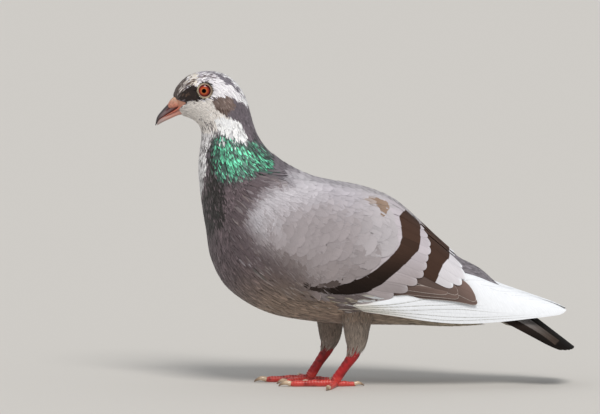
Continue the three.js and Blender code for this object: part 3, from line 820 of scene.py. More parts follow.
# Eyeball: place, radius and how far out its front reaches; the lids sit a little behind its middle
eye = {"y": -110.9, "z": 204.2, "ball": 6.4, "apex": 13.0, "lidBack": 0.3, "lidReach": 4.55, "lidOut": 11.35}


# Distance in side view from the middle of the lids
def fromLids(p):
    return np.hypot(p[..., 1] - eye["y"] - eye["lidBack"], p[..., 2] - eye["z"])


# Body skin: the body surface drawn in by the coat's depth, sunk where the eyeball sits
def bodySkin():
    s = np.concatenate([np.linspace(0, 6, 110)[:-1], np.linspace(6, body["last"] - 0.1, 150)])
    turn = wholeTurn(180)
    s, turn = grid(s, turn)
    point, _, _, out = lieOf(bodyAt, s, turn)
    depth = np.interp(s, [0, 1, 3, 6, 9, 12, 20], [0.5, 0.7, 0.9, 1.2, 2.2, 3.0, 2.6])
    point = point - out * depth[..., None]
    reach = np.hypot(point[..., 1] - eye["y"], point[..., 2] - eye["z"])
    point[..., 0] *= 1 - 0.25 * smooth(4.6, 3.6, reach)
    return tubeMesh(point, (0.01, 0.01, 0.62, 0.99))


# Thigh skin: the thigh's surface drawn in, less near the heel
def thighSkin(leg, box):
    s, turn = grid(np.linspace(0, 5, 40), wholeTurn(48))
    surface = lambda a, b: thighAt(leg, a, b)
    point, _, _, out = lieOf(surface, s, turn, -leg["side"])
    return tubeMesh(point - out * np.interp(s, [0, 4, 5], [1.6, 1.2, 0.4])[..., None], box)


# Wing skin: outside of the arm drawn in, closed by an inside that runs into the trunk
def wingSkin(side, box):
    a, q = grid(np.linspace(0.35, 6.4, 60), np.linspace(0.03, 0.97, 26))
    surface = wingSurface("arm", side)
    point, _, _, out = lieOf(surface, a, q, side)
    outer = point - out * 1.7
    inner = point - out * np.interp(a, [0.35, 1, 4, 6.4], [5, 11, 15, 8])[..., None]
    return tubeMesh(np.concatenate([outer, inner[:, ::-1]], 1), box)


# Lids: a low beaded ring round each eyeball
def lidSkin(side, box):
    turn, wrap = grid(wholeTurn(96), wholeTurn(14))
    bead = 1 + 0.05 * np.sin(turn * 26)
    reach = eye["lidReach"] + mix(0.5, 0.82, 0.5 - 0.5 * np.cos(turn)) * np.cos(wrap) * bead
    x = eye["lidOut"] + 0.75 * np.sin(wrap) * bead - 0.25 * (reach - 4) + 0.12 * np.cos(turn - 0.6)
    y = eye["y"] + eye["lidBack"] + reach * np.cos(turn)
    point = np.stack([side * x, y, eye["z"] + reach * np.sin(turn)], -1)
    count, n = point.shape[:2]
    r, k = grid(np.arange(count), np.arange(n))
    r, k = r.ravel(), k.ravel()
    after, up = (r + 1) % count, (k + 1) % n
    quads = np.stack([r * n + k, after * n + k, after * n + up, r * n + up], -1)
    uv = cornersAt((r, k), (r + 1, k), (r + 1, k + 1), (r, k + 1))
    low, size = np.array(box[:2]), np.array(box[2:]) - np.array(box[:2])
    chart = (low + size * uv / [count, n], np.zeros((0, 3, 2)))
    return point.reshape(-1, 3), quads, np.zeros((0, 3), int), chart


# Skin colour at points: the coat's own markings a little darker, as painted shade under the feathers, with
# the bare face and the pale eye ring, which is darker over its upper back part as painted shadow
def skinColour(p):
    # painted shade: the skin under the coat and the wing takes their markings a little darker
    colour = bodyColour(p) * 0.92
    onWing = (np.abs(p[..., 0]) > 30) & (p[..., 1] > -74) & (p[..., 2] > 62)
    colour = np.where(onWing[..., None], covertColour(p) * 0.9, colour)
    onThigh = (p[..., 2] < 48) & (np.abs(p[..., 0]) > 6) & (p[..., 1] < 12)
    colour = np.where(onThigh[..., None], rgb(150, 142, 137), colour)
    colour = np.where(bareFace(p)[..., None], rgb(196, 142, 120), colour)
    reach = fromLids(p)
    outward = np.abs(p[..., 0]) > 9
    around = np.arctan2(p[..., 2] - eye["z"], p[..., 1] - eye["y"])
    # painted shadow of the feathers over the ring, darkest at its upper back
    ringShadedAbove = lay(rgb(204, 190, 160), rgb(142, 126, 104), smooth(0.2, -1.0, np.cos(around + 2.6)))
    groove = 1 - 0.38 * np.exp(-(((reach - 5.0) / 0.17) ** 2)) + 0.1 * drift(p, 0.7)
    lip = lay(rgb(196, 158, 140), ringShadedAbove, smooth(4.45, 4.75, reach))
    colour = lay(colour, lip * groove[..., None], smooth(5.75, 5.35, reach) * outward)
    return lay(colour, rgb(70, 44, 36), smooth(4.5, 4.1, reach) * outward)


# All the skin in one: body, thighs, wings and lids joined where they cross
def buildSkin():
    parts = [bodySkin()]
    boxes = [(0.64, 0.51, 0.81, 0.99), (0.64, 0.01, 0.81, 0.49)]
    for (name, leg), low in zip(legs.items(), (0.51, 0.01)):
        parts.append(thighSkin(leg, (0.83, low, 0.98, low + 0.4)))
    for side, box in zip((1, -1), boxes):
        parts.append(wingSkin(side, box))
        parts.append(lidSkin(side, (0.83, box[1] + 0.42, 0.98, box[1] + 0.47)))
    pieces = [makePiece("skin" if i == 0 else f"skinPart{i}", p[0], p[1], p[2], coatSkinFinish,
                        "body_feathers", bake=p[3])
              for i, p in enumerate(parts)]
    skin = pieces[0]
    for part in pieces[1:]:
        union = skin.modifiers.new("join", "BOOLEAN")
        union.operation = "UNION"
        union.solver = "MANIFOLD"
        union.object = part
    shape = bpy.data.meshes.new_from_object(skin.evaluated_get(bpy.context.evaluated_depsgraph_get()))
    skin.modifiers.clear()
    for part in pieces[1:]:
        bpy.data.objects.remove(part)
    skin.data = shape
    shape.shade_smooth()
    at = np.empty(len(shape.vertices) * 3, np.float32)
    shape.vertices.foreach_get("co", at)
    setValue(shape, "tint", withAlpha(skinColour(at.reshape(-1, 3) / mm)))
    print("skin", len(shape.polygons), "faces")
    return skin


skin = buildSkin()
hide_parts("head", "neck", "trunk", "rump", "thigh_left", "thigh_right", "wing_left", "wing_right")


# Head: rows of very fine feathers that grow towards the neck and part round the eyes
def dressHead():
    dress = {"step": 0.85, "gap": 0.6, "length": 5.0, "width": 0.43, "lift": -0.45, "tilt": 0.42,
             "thick": 0.14}
    s, turn = ringRoots(bodyAt, 0.0, 6.4, dress["step"], dress["gap"])
    root = bodyAt(s, turn)
    reach = fromLids(root)
    keep = ~bareFace(root) & ((reach > 5.6) | (np.abs(root[:, 0]) < 7))
    s, turn, root, reach = s[keep], turn[keep], root[keep], reach[keep]
    size = np.interp(s, [0, 1.5, 4, 6], [0.55, 0.75, 1.0, 1.25]) * smooth(1.5, 8.5, reach) ** 0.5
    length = dress["length"] * size * jitter(len(s), 0.25)
    length = np.where((root[:, 1] < eye["y"]) & (np.abs(root[:, 0]) > 7), np.minimum(length, reach - 4.2),
                      length)
    # feathers ahead of the eye part round its ring instead of crossing it
    toEye = root[:, 1:] - np.array([eye["y"], eye["z"]])
    part = smooth(11, 5.5, reach) * (toEye[:, 0] < 1) * np.sign(toEye[:, 1] + 0.4)
    heading = chance.normal(0, 0.13, len(s)) - 0.55 * part * np.sign(np.sin(turn))
    for name, keep in (("Left", turn < pi), ("Right", turn >= pi)):
        coat = Coat()
        points, form, across = layVanes(
            bodyAt, s[keep], turn[keep], fineVane, length[keep], dress["width"] * (0.5 + 0.5 * size[keep]),
            dress["lift"] * np.minimum(1, size[keep]), dress["tilt"] * jitter(keep.sum(), 0.25),
            dress["thick"], heading[keep])
        # none may lie across the eye
        near = fromLids(points) + 99 * (np.abs(points[..., 0]) < 8)
        clear = near.min(1) > 5.0
        seen = tipsOf(points, form)
        colour = bodyColour(seen, single=True)
        # a dark line of feathers below and behind the lids
        below = (seen[:, 1] - eye["y"]) * 0.7 - (seen[:, 2] - eye["z"]) * 0.7
        line = (fromLids(seen) < 6.8) & (np.abs(seen[:, 0]) > 7) & (below > -1)
        line = line & (chance.random(len(seen)) < 0.72)
        colour = vaneColour(lay(colour, colour * 0.3, line), form, 0.07)
        coat.add(points[clear], form, across[clear], length[keep][clear], bodyUv(s[keep], turn[keep])[clear],
                 colour[clear])
        coat.build(f"headFeathers{name}", headFinish, "head_feathers")


# Neck: narrow feathers on the green patch at its side, some of which carry painted green glints
def dressNeck():
    dress = {"step": 1.35, "gap": 0.95, "length": 9.0, "width": 0.8, "lift": -1.2, "tilt": 1.15, "thick": 0.2}
    s, turn = ringRoots(bodyAt, 5.4, 11.6, dress["step"], dress["gap"])
    for name, keep in (("Left", turn < pi), ("Right", turn >= pi)):
        coat = Coat()
        a, b = s[keep], turn[keep]
        length = dress["length"] * np.interp(a, [5.4, 8, 11], [0.6, 0.95, 1.15]) * jitter(len(a), 0.22)
        points, form, across = layVanes(
            bodyAt, a, b, fineVane, length, dress["width"] * jitter(len(a), 0.25), dress["lift"],
            dress["tilt"] * jitter(len(a), 0.14), dress["thick"], chance.normal(0, 0.09, len(a)))
        seen = tipsOf(points, form)
        colour = bodyColour(seen, single=True)
        depth = insideOf(seen, patches["greenGround"][3])
        dull = smooth(190, 140, colour.mean(-1)) * smooth(-7, 3, depth)
        # painted glints: bright mint on a random share of the dull green feathers
        paintedGlint = (chance.random(len(a)) < glintShare(depth, seen)) * dull * chance.uniform(0.3, 1.0, len(a))
        colour = lay(colour, rgb(112, 222, 176), paintedGlint)
        # some of the rest are painted near black, as feathers turned from the light
        dark = (chance.random(len(a)) < 0.4) * dull * (paintedGlint == 0)
        colour = lay(colour, rgb(46, 56, 53), dark * 0.8)
        coat.add(points, form, across, length, bodyUv(a, b), vaneColour(colour, form, 0.15, 0.12),
                 (0.3 * dull)[:, None])
        coat.build(f"neckFeathers{name}", neckFinish, "neck_feathers")


# Share of the green feathers that carry a painted glint: most in the middle of the band, few along its edges
def glintShare(depth, p):
    return 0.76 * smooth(-6, 9, depth) * (0.75 + 0.5 * drift(p, 6, 2))


# Breast, belly and rump: broad feathers as a ground and finer ones over them
def dressBody():
    broad = {"step": 5.2, "gap": 5.0, "length": 15.0, "width": 5.2, "lift": -2.3, "tilt": 1.1, "thick": 0.3}
    fine = {"step": 1.9, "gap": 1.4, "length": 9.0, "width": 0.9, "lift": -0.6, "tilt": 0.55, "thick": 0.2}
    for name, low, high in (("breastFeathersLeft", 0, pi), ("breastFeathersRight", pi, 2 * pi)):
        coat = Coat()
        for dress, shape, start in ((broad, softVane, 10.4), (fine, fineVane, 10.8)):
            s, turn = ringRoots(bodyAt, start, 19.6, dress["step"], dress["gap"])
            root = bodyAt(s, turn)
            onMantle = (np.cos(turn) > 0.45) & (root[:, 1] > -58) & (root[:, 1] < 26)
            keep = ~coveredByWing(root, 9) & ~onMantle & (turn >= low) & (turn < high)
            s, turn = s[keep], turn[keep]
            length = dress["length"] * np.interp(s, [10, 13, 20], [0.75, 1, 1.05]) * jitter(len(s), 0.22)
            points, form, across = layVanes(
                bodyAt, s, turn, shape, length, dress["width"] * jitter(len(s), 0.2), dress["lift"],
                dress["tilt"] * jitter(len(s), 0.14), dress["thick"], chance.normal(0, 0.11, len(s)))
            colour = bodyColour(tipsOf(points, form), single=True)
            colour = colour * np.where(chance.random(len(s)) < 0.07, 1.18, 1)[:, None]  # a few pale ones
            coat.add(points, form, across, length, bodyUv(s, turn), vaneColour(colour, form, 0.1, 0.1))
        coat.build(name, downFinish, "body_feathers")


# A soft sheet over several surfaces: the highest value that any of their points has in each square
# millimetre, from the corner on, blurred along both ways by a bell curve
def softSheet(spec, place, value):
    cell = np.round(place - spec["corner"]).astype(int)
    inside = ((cell >= 0) & (cell < spec["size"])).all(1)
    sheet = np.full(spec["size"], spec["ground"])
    np.maximum.at(sheet, tuple(cell[inside].T), value[inside])
    bell = np.exp(-0.5 * (np.arange(-spec["reach"], spec["reach"] + 1) / spec["blur"]) ** 2)
    for axis in (0, 1):
        sheet = np.apply_along_axis(lambda line: np.convolve(line, bell / bell.sum(), "same"), axis, sheet)
    return sheet


# Its value at any place, mixed from the four cells round it
def sheetValue(spec, sheet, place):
    place = place - spec["corner"]
    corner = np.clip(np.floor(place).astype(int), 0, np.array(spec["size"]) - 2)
    (i, j), (f, g) = np.moveaxis(corner, -1, 0), np.moveaxis(place - corner, -1, 0)
    return mix(mix(sheet[i, j], sheet[i + 1, j], f), mix(sheet[i, j + 1], sheet[i + 1, j + 1], f), g)


# Trunk and folded wing seen from the side as one sheet of outermost x, so that the wing's front
# edge eases into the breast
flank = {"corner": (-128, 32), "size": (206, 134), "ground": 0.0, "reach": 10, "blur": 3.4}


# Points of trunk and wing, close enough together to leave no cell out
def flankSheet():
    s, turn = grid(np.linspace(4, 20, 900), np.linspace(0, pi, 700))
    a, q = grid(np.linspace(0, 9, 700), np.linspace(0, 1, 500))
    points = np.vstack([bodyAt(s, turn).reshape(-1, 3), wingShell(wing["arm"], a, q, 1).reshape(-1, 3)])
    return softSheet(flank, points[:, 1:], points[:, 0])


flankMap = flankSheet()


# The point of either side's flank at (y, z)
def flankAt(y, z, side=1):
    return np.stack([side * sheetValue(flank, flankMap, np.stack([y, z], -1)), y, z], -1)


# Fine feathers of breast and shoulder, laid over the wing's front edge so that none of it shows
def dressShoulder(side):
    dress = {"step": 1.7, "gap": 1.4, "length": 9.5, "width": 0.85, "lift": 0.0, "tilt": 0.42, "thick": 0.16}
    y, z = grid(np.arange(-104, -26, dress["step"]), np.arange(66, 151, dress["gap"]))
    y, z = y.ravel() + chance.uniform(-0.9, 0.9, y.size), z.ravel() + chance.uniform(-0.7, 0.7, z.size)
    depth = insideOf(np.stack([0 * y, y, z], -1), wingMarks["lead"])
    keep = (depth < 11 + chance.uniform(-3, 3, y.size)) & (depth > -11 + chance.uniform(-6, 6, y.size))
    steep = flankAt(y, z - 1)[:, 0] - flankAt(y, z + 1)[:, 0]
    keep &= (flankAt(y, z)[:, 0] > 17) & ((steep < 3.2) | (z < 120))
    y, z, depth = y[keep], z[keep], depth[keep]
    surface = lambda u, v: flankAt(u, v, side)
    down = np.interp(z, [70, 95, 120, 140, 150], [-0.6, -0.85, -0.8, -0.45, -0.25])
    length = dress["length"] * jitter(len(y), 0.25)
    points, form, across = layVanes(
        surface, y, z, fineVane, length, dress["width"] * jitter(len(y), 0.2), dress["lift"],
        dress["tilt"] * jitter(len(y), 0.15) * mix(0.6, 1, smooth(-6, 4, depth)), dress["thick"],
        down + chance.normal(0, 0.07, len(y)), face=-side, e=0.7)
    colour = covertColour(tipsOf(points, form), single=True)
    coat = Coat()
    uv = bodyUv(*nearestOnBody(surface(y, z)))
    coat.add(points, form, across, length, uv, vaneColour(colour, form, 0.025, 0.03))
    coat.build(f"shoulderFeathers{sideName(side)}", downFinish, "body_feathers")


# Back and both wings seen from above as one sheet of uppermost z
back = {"corner": (-50, -92), "size": (101, 150), "ground": 40.0, "reach": 8, "blur": 2.6}


# The same for the back
def backSheet():
    s, turn = grid(np.linspace(8, 19, 700), np.linspace(-pi / 2, pi / 2, 700))
    a, q = grid(np.linspace(0, 9, 700), np.linspace(-0.1, 0.6, 400))
    wings = [wingShell(wing["arm"], a, q, side).reshape(-1, 3) for side in (1, -1)]
    points = np.vstack([bodyAt(s, turn).reshape(-1, 3)] + wings)
    return softSheet(back, points[:, :2], points[:, 2])


backMap = backSheet()


# The point of the back at (x, y); it takes y first, as feathers there head along y
def backAt(y, x):
    return np.stack([x, y, sheetValue(back, backMap, np.stack([x, y], -1))], -1)


# Mantle: fine feathers behind the neck that give way to broad ones, laid over the join of back and wings
def dressMantle():
    coat = Coat()
    kinds = [
        {"shape": broadVane, "step": 4.4, "gap": 4.4, "from": -56, "to": 34, "length": 14.0, "width": 4.6,
         "lift": -0.5, "tilt": 0.8, "thick": 0.14},
        {"shape": fineVane, "step": 2.1, "gap": 1.5, "from": -64, "to": -20, "length": 9.5, "width": 0.9,
         "lift": -0.2, "tilt": 0.45, "thick": 0.16},
    ]
    for kind in kinds:
        y, x = grid(np.arange(kind["from"], kind["to"], kind["step"]), np.arange(-36, 36, kind["gap"]))
        x = x + kind["gap"] / 2 * (np.arange(len(y)) % 2)[:, None]
        y = (y + chance.uniform(-0.3, 0.3, y.shape) * kind["step"]).ravel()
        x = (x + chance.uniform(-0.2, 0.2, x.shape) * kind["gap"]).ravel()
        reach = np.interp(y, [-76, -60, -42, -22, 0, 20, 34],
                          [25, 29, 25, 19, 13.5, 9, 6]) + chance.uniform(-1, 3, y.size)
        keep = np.abs(x) < reach
        if kind["shape"] is fineVane:
            keep &= chance.random(y.size) < smooth(-20, -46, y) + 0.1
        y, x = y[keep], x[keep]
        length = kind["length"] * jitter(len(y), 0.18)
        points, form, across = layVanes(
            backAt, y, x, kind["shape"], length, kind["width"] * jitter(len(y), 0.12),
            kind["lift"] + chance.uniform(-0.1, 0.1, len(y)), kind["tilt"] * jitter(len(y), 0.2),
            kind["thick"], chance.normal(0, 0.08, len(y)) + 0.006 * x, hook=0.1, face=-1, e=0.7)
        colour = mantleColour(tipsOf(points, form))
        coat.add(points, form, across, length, bodyUv(*nearestOnBody(backAt(y, x))),
                 vaneColour(colour, form, 0.025, 0.03))
    coat.build("mantleFeathers", covertFinish, "body_feathers")


# Mantle colour: the neck's brown grey behind the neck, fading to the wing's pale lilac
def mantleColour(p):
    y = p[..., 1]
    fade = smooth(-49, -33, y + 0.15 * np.abs(p[..., 0]) + 4 * drift(p, 6, 4))
    return lay(rgb(120, 113, 120), covertColour(p + np.array([0, 0, -2.0])), fade)


dressHead()
dressNeck()
dressBody()
dressMantle()
for side in (1, -1):
    dressShoulder(side)


# Lines on the arm's chart (section a, q), from the back down: where the small coverts start at the
# bend, and where their last row ends on the first bar
leadLine = [(2.3, 0.14), (2.0, 0.22), (1.7, 0.33), (1.25, 0.45), (0.95, 0.56), (0.9, 0.68), (1.1, 0.78),
            (1.55, 0.85), (2.2, 0.9), (3.0, 0.94)]
barLine = [(5.55, 0.11), (5.92, 0.21), (6.12, 0.3), (6.24, 0.41), (6.21, 0.51), (6.02, 0.61), (5.72, 0.69),
           (5.28, 0.76), (4.75, 0.815), (4.15, 0.865), (3.5, 0.925)]


# The wing's chart: section along the map, q up it
def wingUv(a, q, low=0.0):
    return np.stack([0.03 + 0.94 * np.clip(a, -0.2, 9.3) / 9.3, low + 0.02 + (0.96 - low) * np.clip(q, 0, 1)],
                    -1)


# Small coverts: rows between the bend and the bar, closer together and smaller towards the bend.
# Row w lies between the two lines; its feathers' tips are on it
def dressCoverts(side, coat):
    dress = {"rows": 22, "length": (9.5, 22.0), "gap": (4.2, 10.6), "cover": 0.84, "tip": 0.4, "root": -0.3,
             "thick": 0.1}
    surface = wingSurface("arm", side)
    line = np.linspace(0, 1, 300)
    shares = 0.667 * (2.5 ** np.linspace(0, 1, dress["rows"]) - 1)
    found = []
    for number, w in enumerate(shares):
        onRow = lambda e, w=w: mix(through(leadLine, e * 9), through(barLine, e * 10), w)
        before = shares[number - 1] if number else -0.03
        at = surface(*onRow(line).T)
        arc = runOf(sizeOf(np.diff(at, axis=0)))
        count = max(6, int(arc[-1] / mix(*dress["gap"], w**1.15)))
        place = np.arange(count) + 0.25 + 0.5 * (number % 2) + chance.uniform(-0.1, 0.1, count)
        place = place / count * arc[-1]
        e = np.interp(place, arc, line)
        a, q = onRow(e).T
        run = surface(*onRow(e + 0.006).T) - surface(a, q)
        apart = sizeOf(surface(*onRow(e, before).T) - surface(a, q))
        room = np.clip(apart / np.median(apart), 0.3, 1.15)
        keep = chance.random(count) < room * 2
        found.append(np.column_stack([a, q, np.full(count, w), room, run])[keep])
    a, q, w, room, *run = np.vstack(found).T
    _, stepU, stepV, out = lieOf(surface, a, q, side)
    # a feather heads square to its row, drawn a little back to the wing's own length
    square = unit(np.cross(np.stack(run, -1), out))
    square = square * np.sign((square * stepU).sum(-1))[:, None]
    ahead = unit(stepU)
    lean = (stepV * ahead).sum(-1)
    aside = sizeOf(stepV - lean[:, None] * ahead)
    downwards = unit(stepV - lean[:, None] * ahead)
    heading = 0.85 * np.arctan2((square * downwards).sum(-1), (square * ahead).sum(-1))
    heading = heading + chance.normal(0, 0.1, len(a))
    length = mix(*dress["length"], w) * room**0.5 * jitter(len(a), 0.09)
    width = dress["cover"] * mix(*dress["gap"], w**1.15) * room**0.3 * jitter(len(a), 0.1)
    # the tip lies on the row, so the root starts a feather's length ahead of it
    dq = -length * np.sin(heading) / aside
    da = (-length * np.cos(heading) - dq * lean) / sizeOf(stepU)
    root = mix(-2.2, dress["root"], smooth(0, 0.3, w)) + chance.uniform(-0.1, 0.1, len(a))
    tip = dress["tip"] * (0.55 + 0.45 * smooth(128, 98, surface(a, q)[:, 2])) * jitter(len(a), 0.3)
    points, form, across = layVanes(
        surface, a + da, q + dq, broadVane, length, width, root, tip - root, dress["thick"], heading,
        roll=0.04, camber=0.05, hook=0.14, face=side)
    colour = vaneColour(covertColour(surface(a - 0.1, q)), form, 0.016, 0.0)
    # darker where each covert comes out from under the one over it: in part painted shade
    colour = colour * (0.965 + 0.035 * smooth(0.5, 0.85, form["along"]))[:, None]
    coat.add(points, form, across, length, wingUv(a, q), colour)
    # loose pale filaments over them
    count = 420
    e, w = chance.random(count), chance.random(count) ** 0.8
    a, q = np.moveaxis(lay(through(leadLine, e * 9), through(barLine, e * 10), w), -1, 0)
    length = chance.uniform(4, 9, count)
    points, form, across = layVanes(
        surface, a - 0.4, q, fineVane, length, 0.1, 0.12, chance.uniform(0.1, 0.32, count), 0.05,
        np.interp(q, [0, 0.4, 1], [0.05, 0.25, 0.1]) + chance.normal(0, 0.2, count),
        curl=chance.normal(0, 0.06, count), face=side)
    pale = mix(covertColour(surface(a, q)), shade["tip"], chance.uniform(0, 0.5, (count, 1)))
    coat.add(points, form, across, length, wingUv(a, q), vaneColour(pale, form, 0.02, 0.0))


# A long feather laid straight on a chart: its middle line, half width and height for each t and c
def layQuill(surface, place, rows, columns, thick, face, camber=0.3):
    t = np.concatenate([np.linspace(0.04, 0.8, rows - 5), [0.87, 0.92, 0.96, 0.983, 0.995]])
    form = vaneTemplate({"t": t, "w": np.ones(rows), "columns": columns})
    u, v, lift = place(form["along"], form["across"])
    point, _, _, out = lieOf(surface, u, v, face)
    body = form["height"] * np.clip(np.sin(pi * np.clip(form["along"], 0.04, 0.97)), 0, 1) ** 0.4
    rise = lift + thick / 2 * body - camber * form["across"] ** 2
    return (point + out * rise[:, None])[None], form


# How wide a feather still is near its rounded tip: full, then a quarter round over its last part
def roundTip(t, share):
    return np.sqrt(np.clip(1 - (np.clip(t - (1 - share), 0, share) / share) ** 2, 0, 1))


# A long feather between a root and a tip on a chart, both (section, q), with its half width in mm.
# Its root lies lower by sink, under the feathers ahead of it
def quillBetween(surface, root, tip, half, lift, roll=0.4, rows=15, columns=5, thick=0.22, face=1, share=0.16,
                 sink=1.1):
    root, tip = np.array(root, float), np.array(tip, float)
    ends, _, stepV, _ = lieOf(surface, np.array([root[0], tip[0]]), np.array([root[1], tip[1]]), face)
    downScale = sizeOf(stepV)
    length = np.linalg.norm(ends[1] - ends[0])

    def place(t, c):
        width = half * np.interp(t, [0, 0.25, 0.7, 1], [0.6, 0.9, 1, 1]) * roundTip(t, share)
        u = mix(root[0], tip[0], t)
        v = mix(root[1], tip[1], t) + c * width / mix(downScale[0], downScale[1], t)
        return u, v, lift + roll * c * roundTip(t, share) - sink * smooth(0.55, 0, t)

    points, form = layQuill(surface, place, rows, columns, thick, face, camber=0.2)
    across = (form["across"] * half * roundTip(form["along"], share))[None]
    return points, form, across, length


# Adds one long feather to a coat, with a cell of its own on the bake map
def addQuill(coat, quill, colour, cell, second=None, band=None, cells=40):
    points, form, across, length = quill
    column, row = cell % cells, cell // cells
    rootUv = np.array([[0.03 + (column + 0.5) * 0.94 / cells, 0.1 + 0.19 * row]])
    second = None if second is None else np.broadcast_to(second, colour.shape)[None]
    coat.add(points, form, across, np.array([length]), rootUv, colour[None], patch=(0.9 / cells, 0.17),
             second=second, band=None if band is None else band[None])


# Greater coverts: dark where the first bar crosses them and pale to their rounded tips
def dressGreaterCoverts(side, coat):
    surface = wingSurface("arm", side)
    start = [(5.75, 0.1), (6.05, 0.22), (6.17, 0.33), (6.23, 0.42), (6.2, 0.5), (6.05, 0.585), (5.85, 0.655),
             (5.55, 0.71), (5.2, 0.765), (4.85, 0.802), (4.5, 0.83), (4.15, 0.86), (3.75, 0.89),
             (3.35, 0.925)]
    ends = [(7.2, 0.1), (7.32, 0.17), (7.42, 0.26), (7.48, 0.36), (7.42, 0.46), (7.25, 0.56), (7.13, 0.66),
            (6.95, 0.755), (6.66, 0.85), (6.28, 0.93), (5.8, 0.965), (5.15, 0.97), (4.4, 0.965), (3.6, 0.955)]
    for k, (near, far) in enumerate(zip(start, ends)):
        root = np.array(near) - 0.6 * (np.array(far) - np.array(near))
        half = np.interp(k, [0, 3, 13], [6.4, 6.4, 5.4])
        quill = quillBetween(surface, root, far, half, lift=0.45 - 0.03 * k, roll=0.24, face=side, share=0.2)
        p, t = quill[0][0], quill[1]["along"]
        # low down the pale and the bar darken, and towards the front the pale browns, in part as painted
        # shade
        low = smooth(100, 70, p[:, 2])[:, None]
        band = insideOf(p, wingMarks["barOne"]) + chance.normal(0, 0.4)
        pale = mix(shade["pale"], shade["paleLow"], low * 0.8) * (1 + 0.025 * chance.normal())
        pale = lay(pale, shade["front"], smooth(-2, -24, p[:, 1]))
        pale = lay(pale, shade["tip"], 0.35 * smooth(0.88, 1, t))
        dark = mix(shade["bar"], shade["barLow"], low) * (1 + 0.05 * chance.normal())
        if k > 12:
            edge = np.minimum(half * roundTip(t, 0.2) - np.abs(quill[2][0]), quill[3] * (1 - t))
            tone = shade["front"] * 1.05
            pale, dark, band = lay(tone, tone * 1.15, t), shade["rim"], 0.3 - edge
        addQuill(coat, quill, pale, k, dark, band)


# Tertials and secondaries, lowest first: five plain brown ones with pale rims under the ones that the
# second bar crosses. Each has its root and tip on the arm's chart, half width, lift, and the share of
# its length that its round tip takes
secondaries = [
    ((5.3, 0.98), (9.2, 0.955), 5.0, -0.9, 0.09),
    ((6.2, 0.66), (9.22, 0.83), 8.0, -0.75, 0.1),
    ((5.3, 0.96), (8.34, 0.94), 3.8, -0.4, 0.12),
    ((6.0, 0.8), (8.36, 0.86), 5.0, -0.3, 0.14),
    ((5.3, 0.92), (7.85, 0.92), 2.8, -0.1, 0.16),
    ((6.2, 0.66), (8.2, 0.775), 6.4, 0.0, 0.26),
    ((6.3, 0.54), (8.72, 0.655), 8.0, 0.05, 0.24),
    ((6.5, 0.4), (9.06, 0.5), 8.4, 0.1, 0.24),
    ((6.6, 0.28), (9.04, 0.34), 6.6, 0.15, 0.26),
    ((6.6, 0.15), (8.9, 0.12), 7.0, 0.2, 0.22),
    ((6.2, 0.07), (8.3, 0.04), 6.0, 0.3, 0.25),
]


# Lays them with their bands, or with their rims
def dressSecondaries(side, coat):
    surface = wingSurface("arm", side)
    for k, (root, tip, half, lift, share) in enumerate(secondaries):
        quill = quillBetween(surface, root, tip, half, lift, roll=0.26, face=side, share=share, rows=18,
                             columns=7)
        p, t, across = quill[0][0], quill[1]["along"], np.abs(quill[2][0])
        if k < 5:
            tone = shade["quill"] * (1 + 0.05 * chance.normal())
            colour = lay(tone, tone * 1.16, smooth(0.6, 0.95, t))
            edge = np.minimum(half * roundTip(t, share) - across, quill[3] * (1 - t))
            addQuill(coat, quill, colour, k + 40, shade["rim"], 0.42 - edge)
        else:
            band = insideOf(p, wingMarks["barTwo"]) + chance.normal(0, 0.4)
            pale = lay(shade["tip"], shade["white"], smooth(0.9, 1, t))
            addQuill(coat, quill, pale, k + 40, shade["bar"] * (1 + 0.05 * chance.normal()), band)


# Scapulars: soft broad feathers over the join of wing and back
def dressScapulars(side, coat):
    surface = wingSurface("arm", side)
    dress = {"length": 16.0, "width": 4.6, "lift": -0.2, "tilt": 0.6, "thick": 0.14}
    found = []
    for number, a in enumerate(np.arange(2.5, 6.3, 0.21)):
        reach = np.interp(a, [2.5, 3, 5, 6.3], [0.14, 0.17, 0.2, 0.22])
        q = np.arange(-0.12 + 0.02 * (number % 2), reach, 0.045) + chance.uniform(-0.008, 0.008)
        found.append(np.stack([a + chance.uniform(-0.05, 0.05, len(q)), q], -1))
    a, q = np.vstack(found).T
    length = dress["length"] * np.interp(a, [2.5, 4, 6], [0.7, 0.88, 1]) * jitter(len(a), 0.1)
    points, form, across = layVanes(
        surface, a - 0.35, q, broadVane, length, dress["width"] * np.interp(a, [2.5, 6], [0.75, 1]),
        dress["lift"], dress["tilt"] * jitter(len(a), 0.15), dress["thick"],
        chance.normal(0.03, 0.06, len(a)), camber=0.1, hook=0.15, face=side)
    colour = vaneColour(covertColour(tipsOf(points, form)), form, 0.02, 0.02)
    coat.add(points, form, across, length, wingUv(a, q), colour)


# Primaries: ten long white feathers on the blade, the upper ones shorter and on top. Each reaches
# from the blade's upper edge down to an edge of its own, along which some carry a thin grey painted shadow
# line
primaries = {
    "tips": [2.6, 3.1, 3.6, 4.1, 4.55, 5.0, 5.5, 6.05, 6.6, 7.0],  # blade sections where they end
    "edges": [0.55, 0.6, 0.655, 0.7, 0.75, 0.79, 0.83, 0.885, 0.945, 1.0],  # how far down each one shows
    "root": -0.1,
    "overTop": -0.13,  # how far their upper vanes turn in over the gap between the wings
    # feathers that carry the painted shadow line
    "shadowLined": (1, 3, 5, 7, 8),
    "tufts": 150,
}


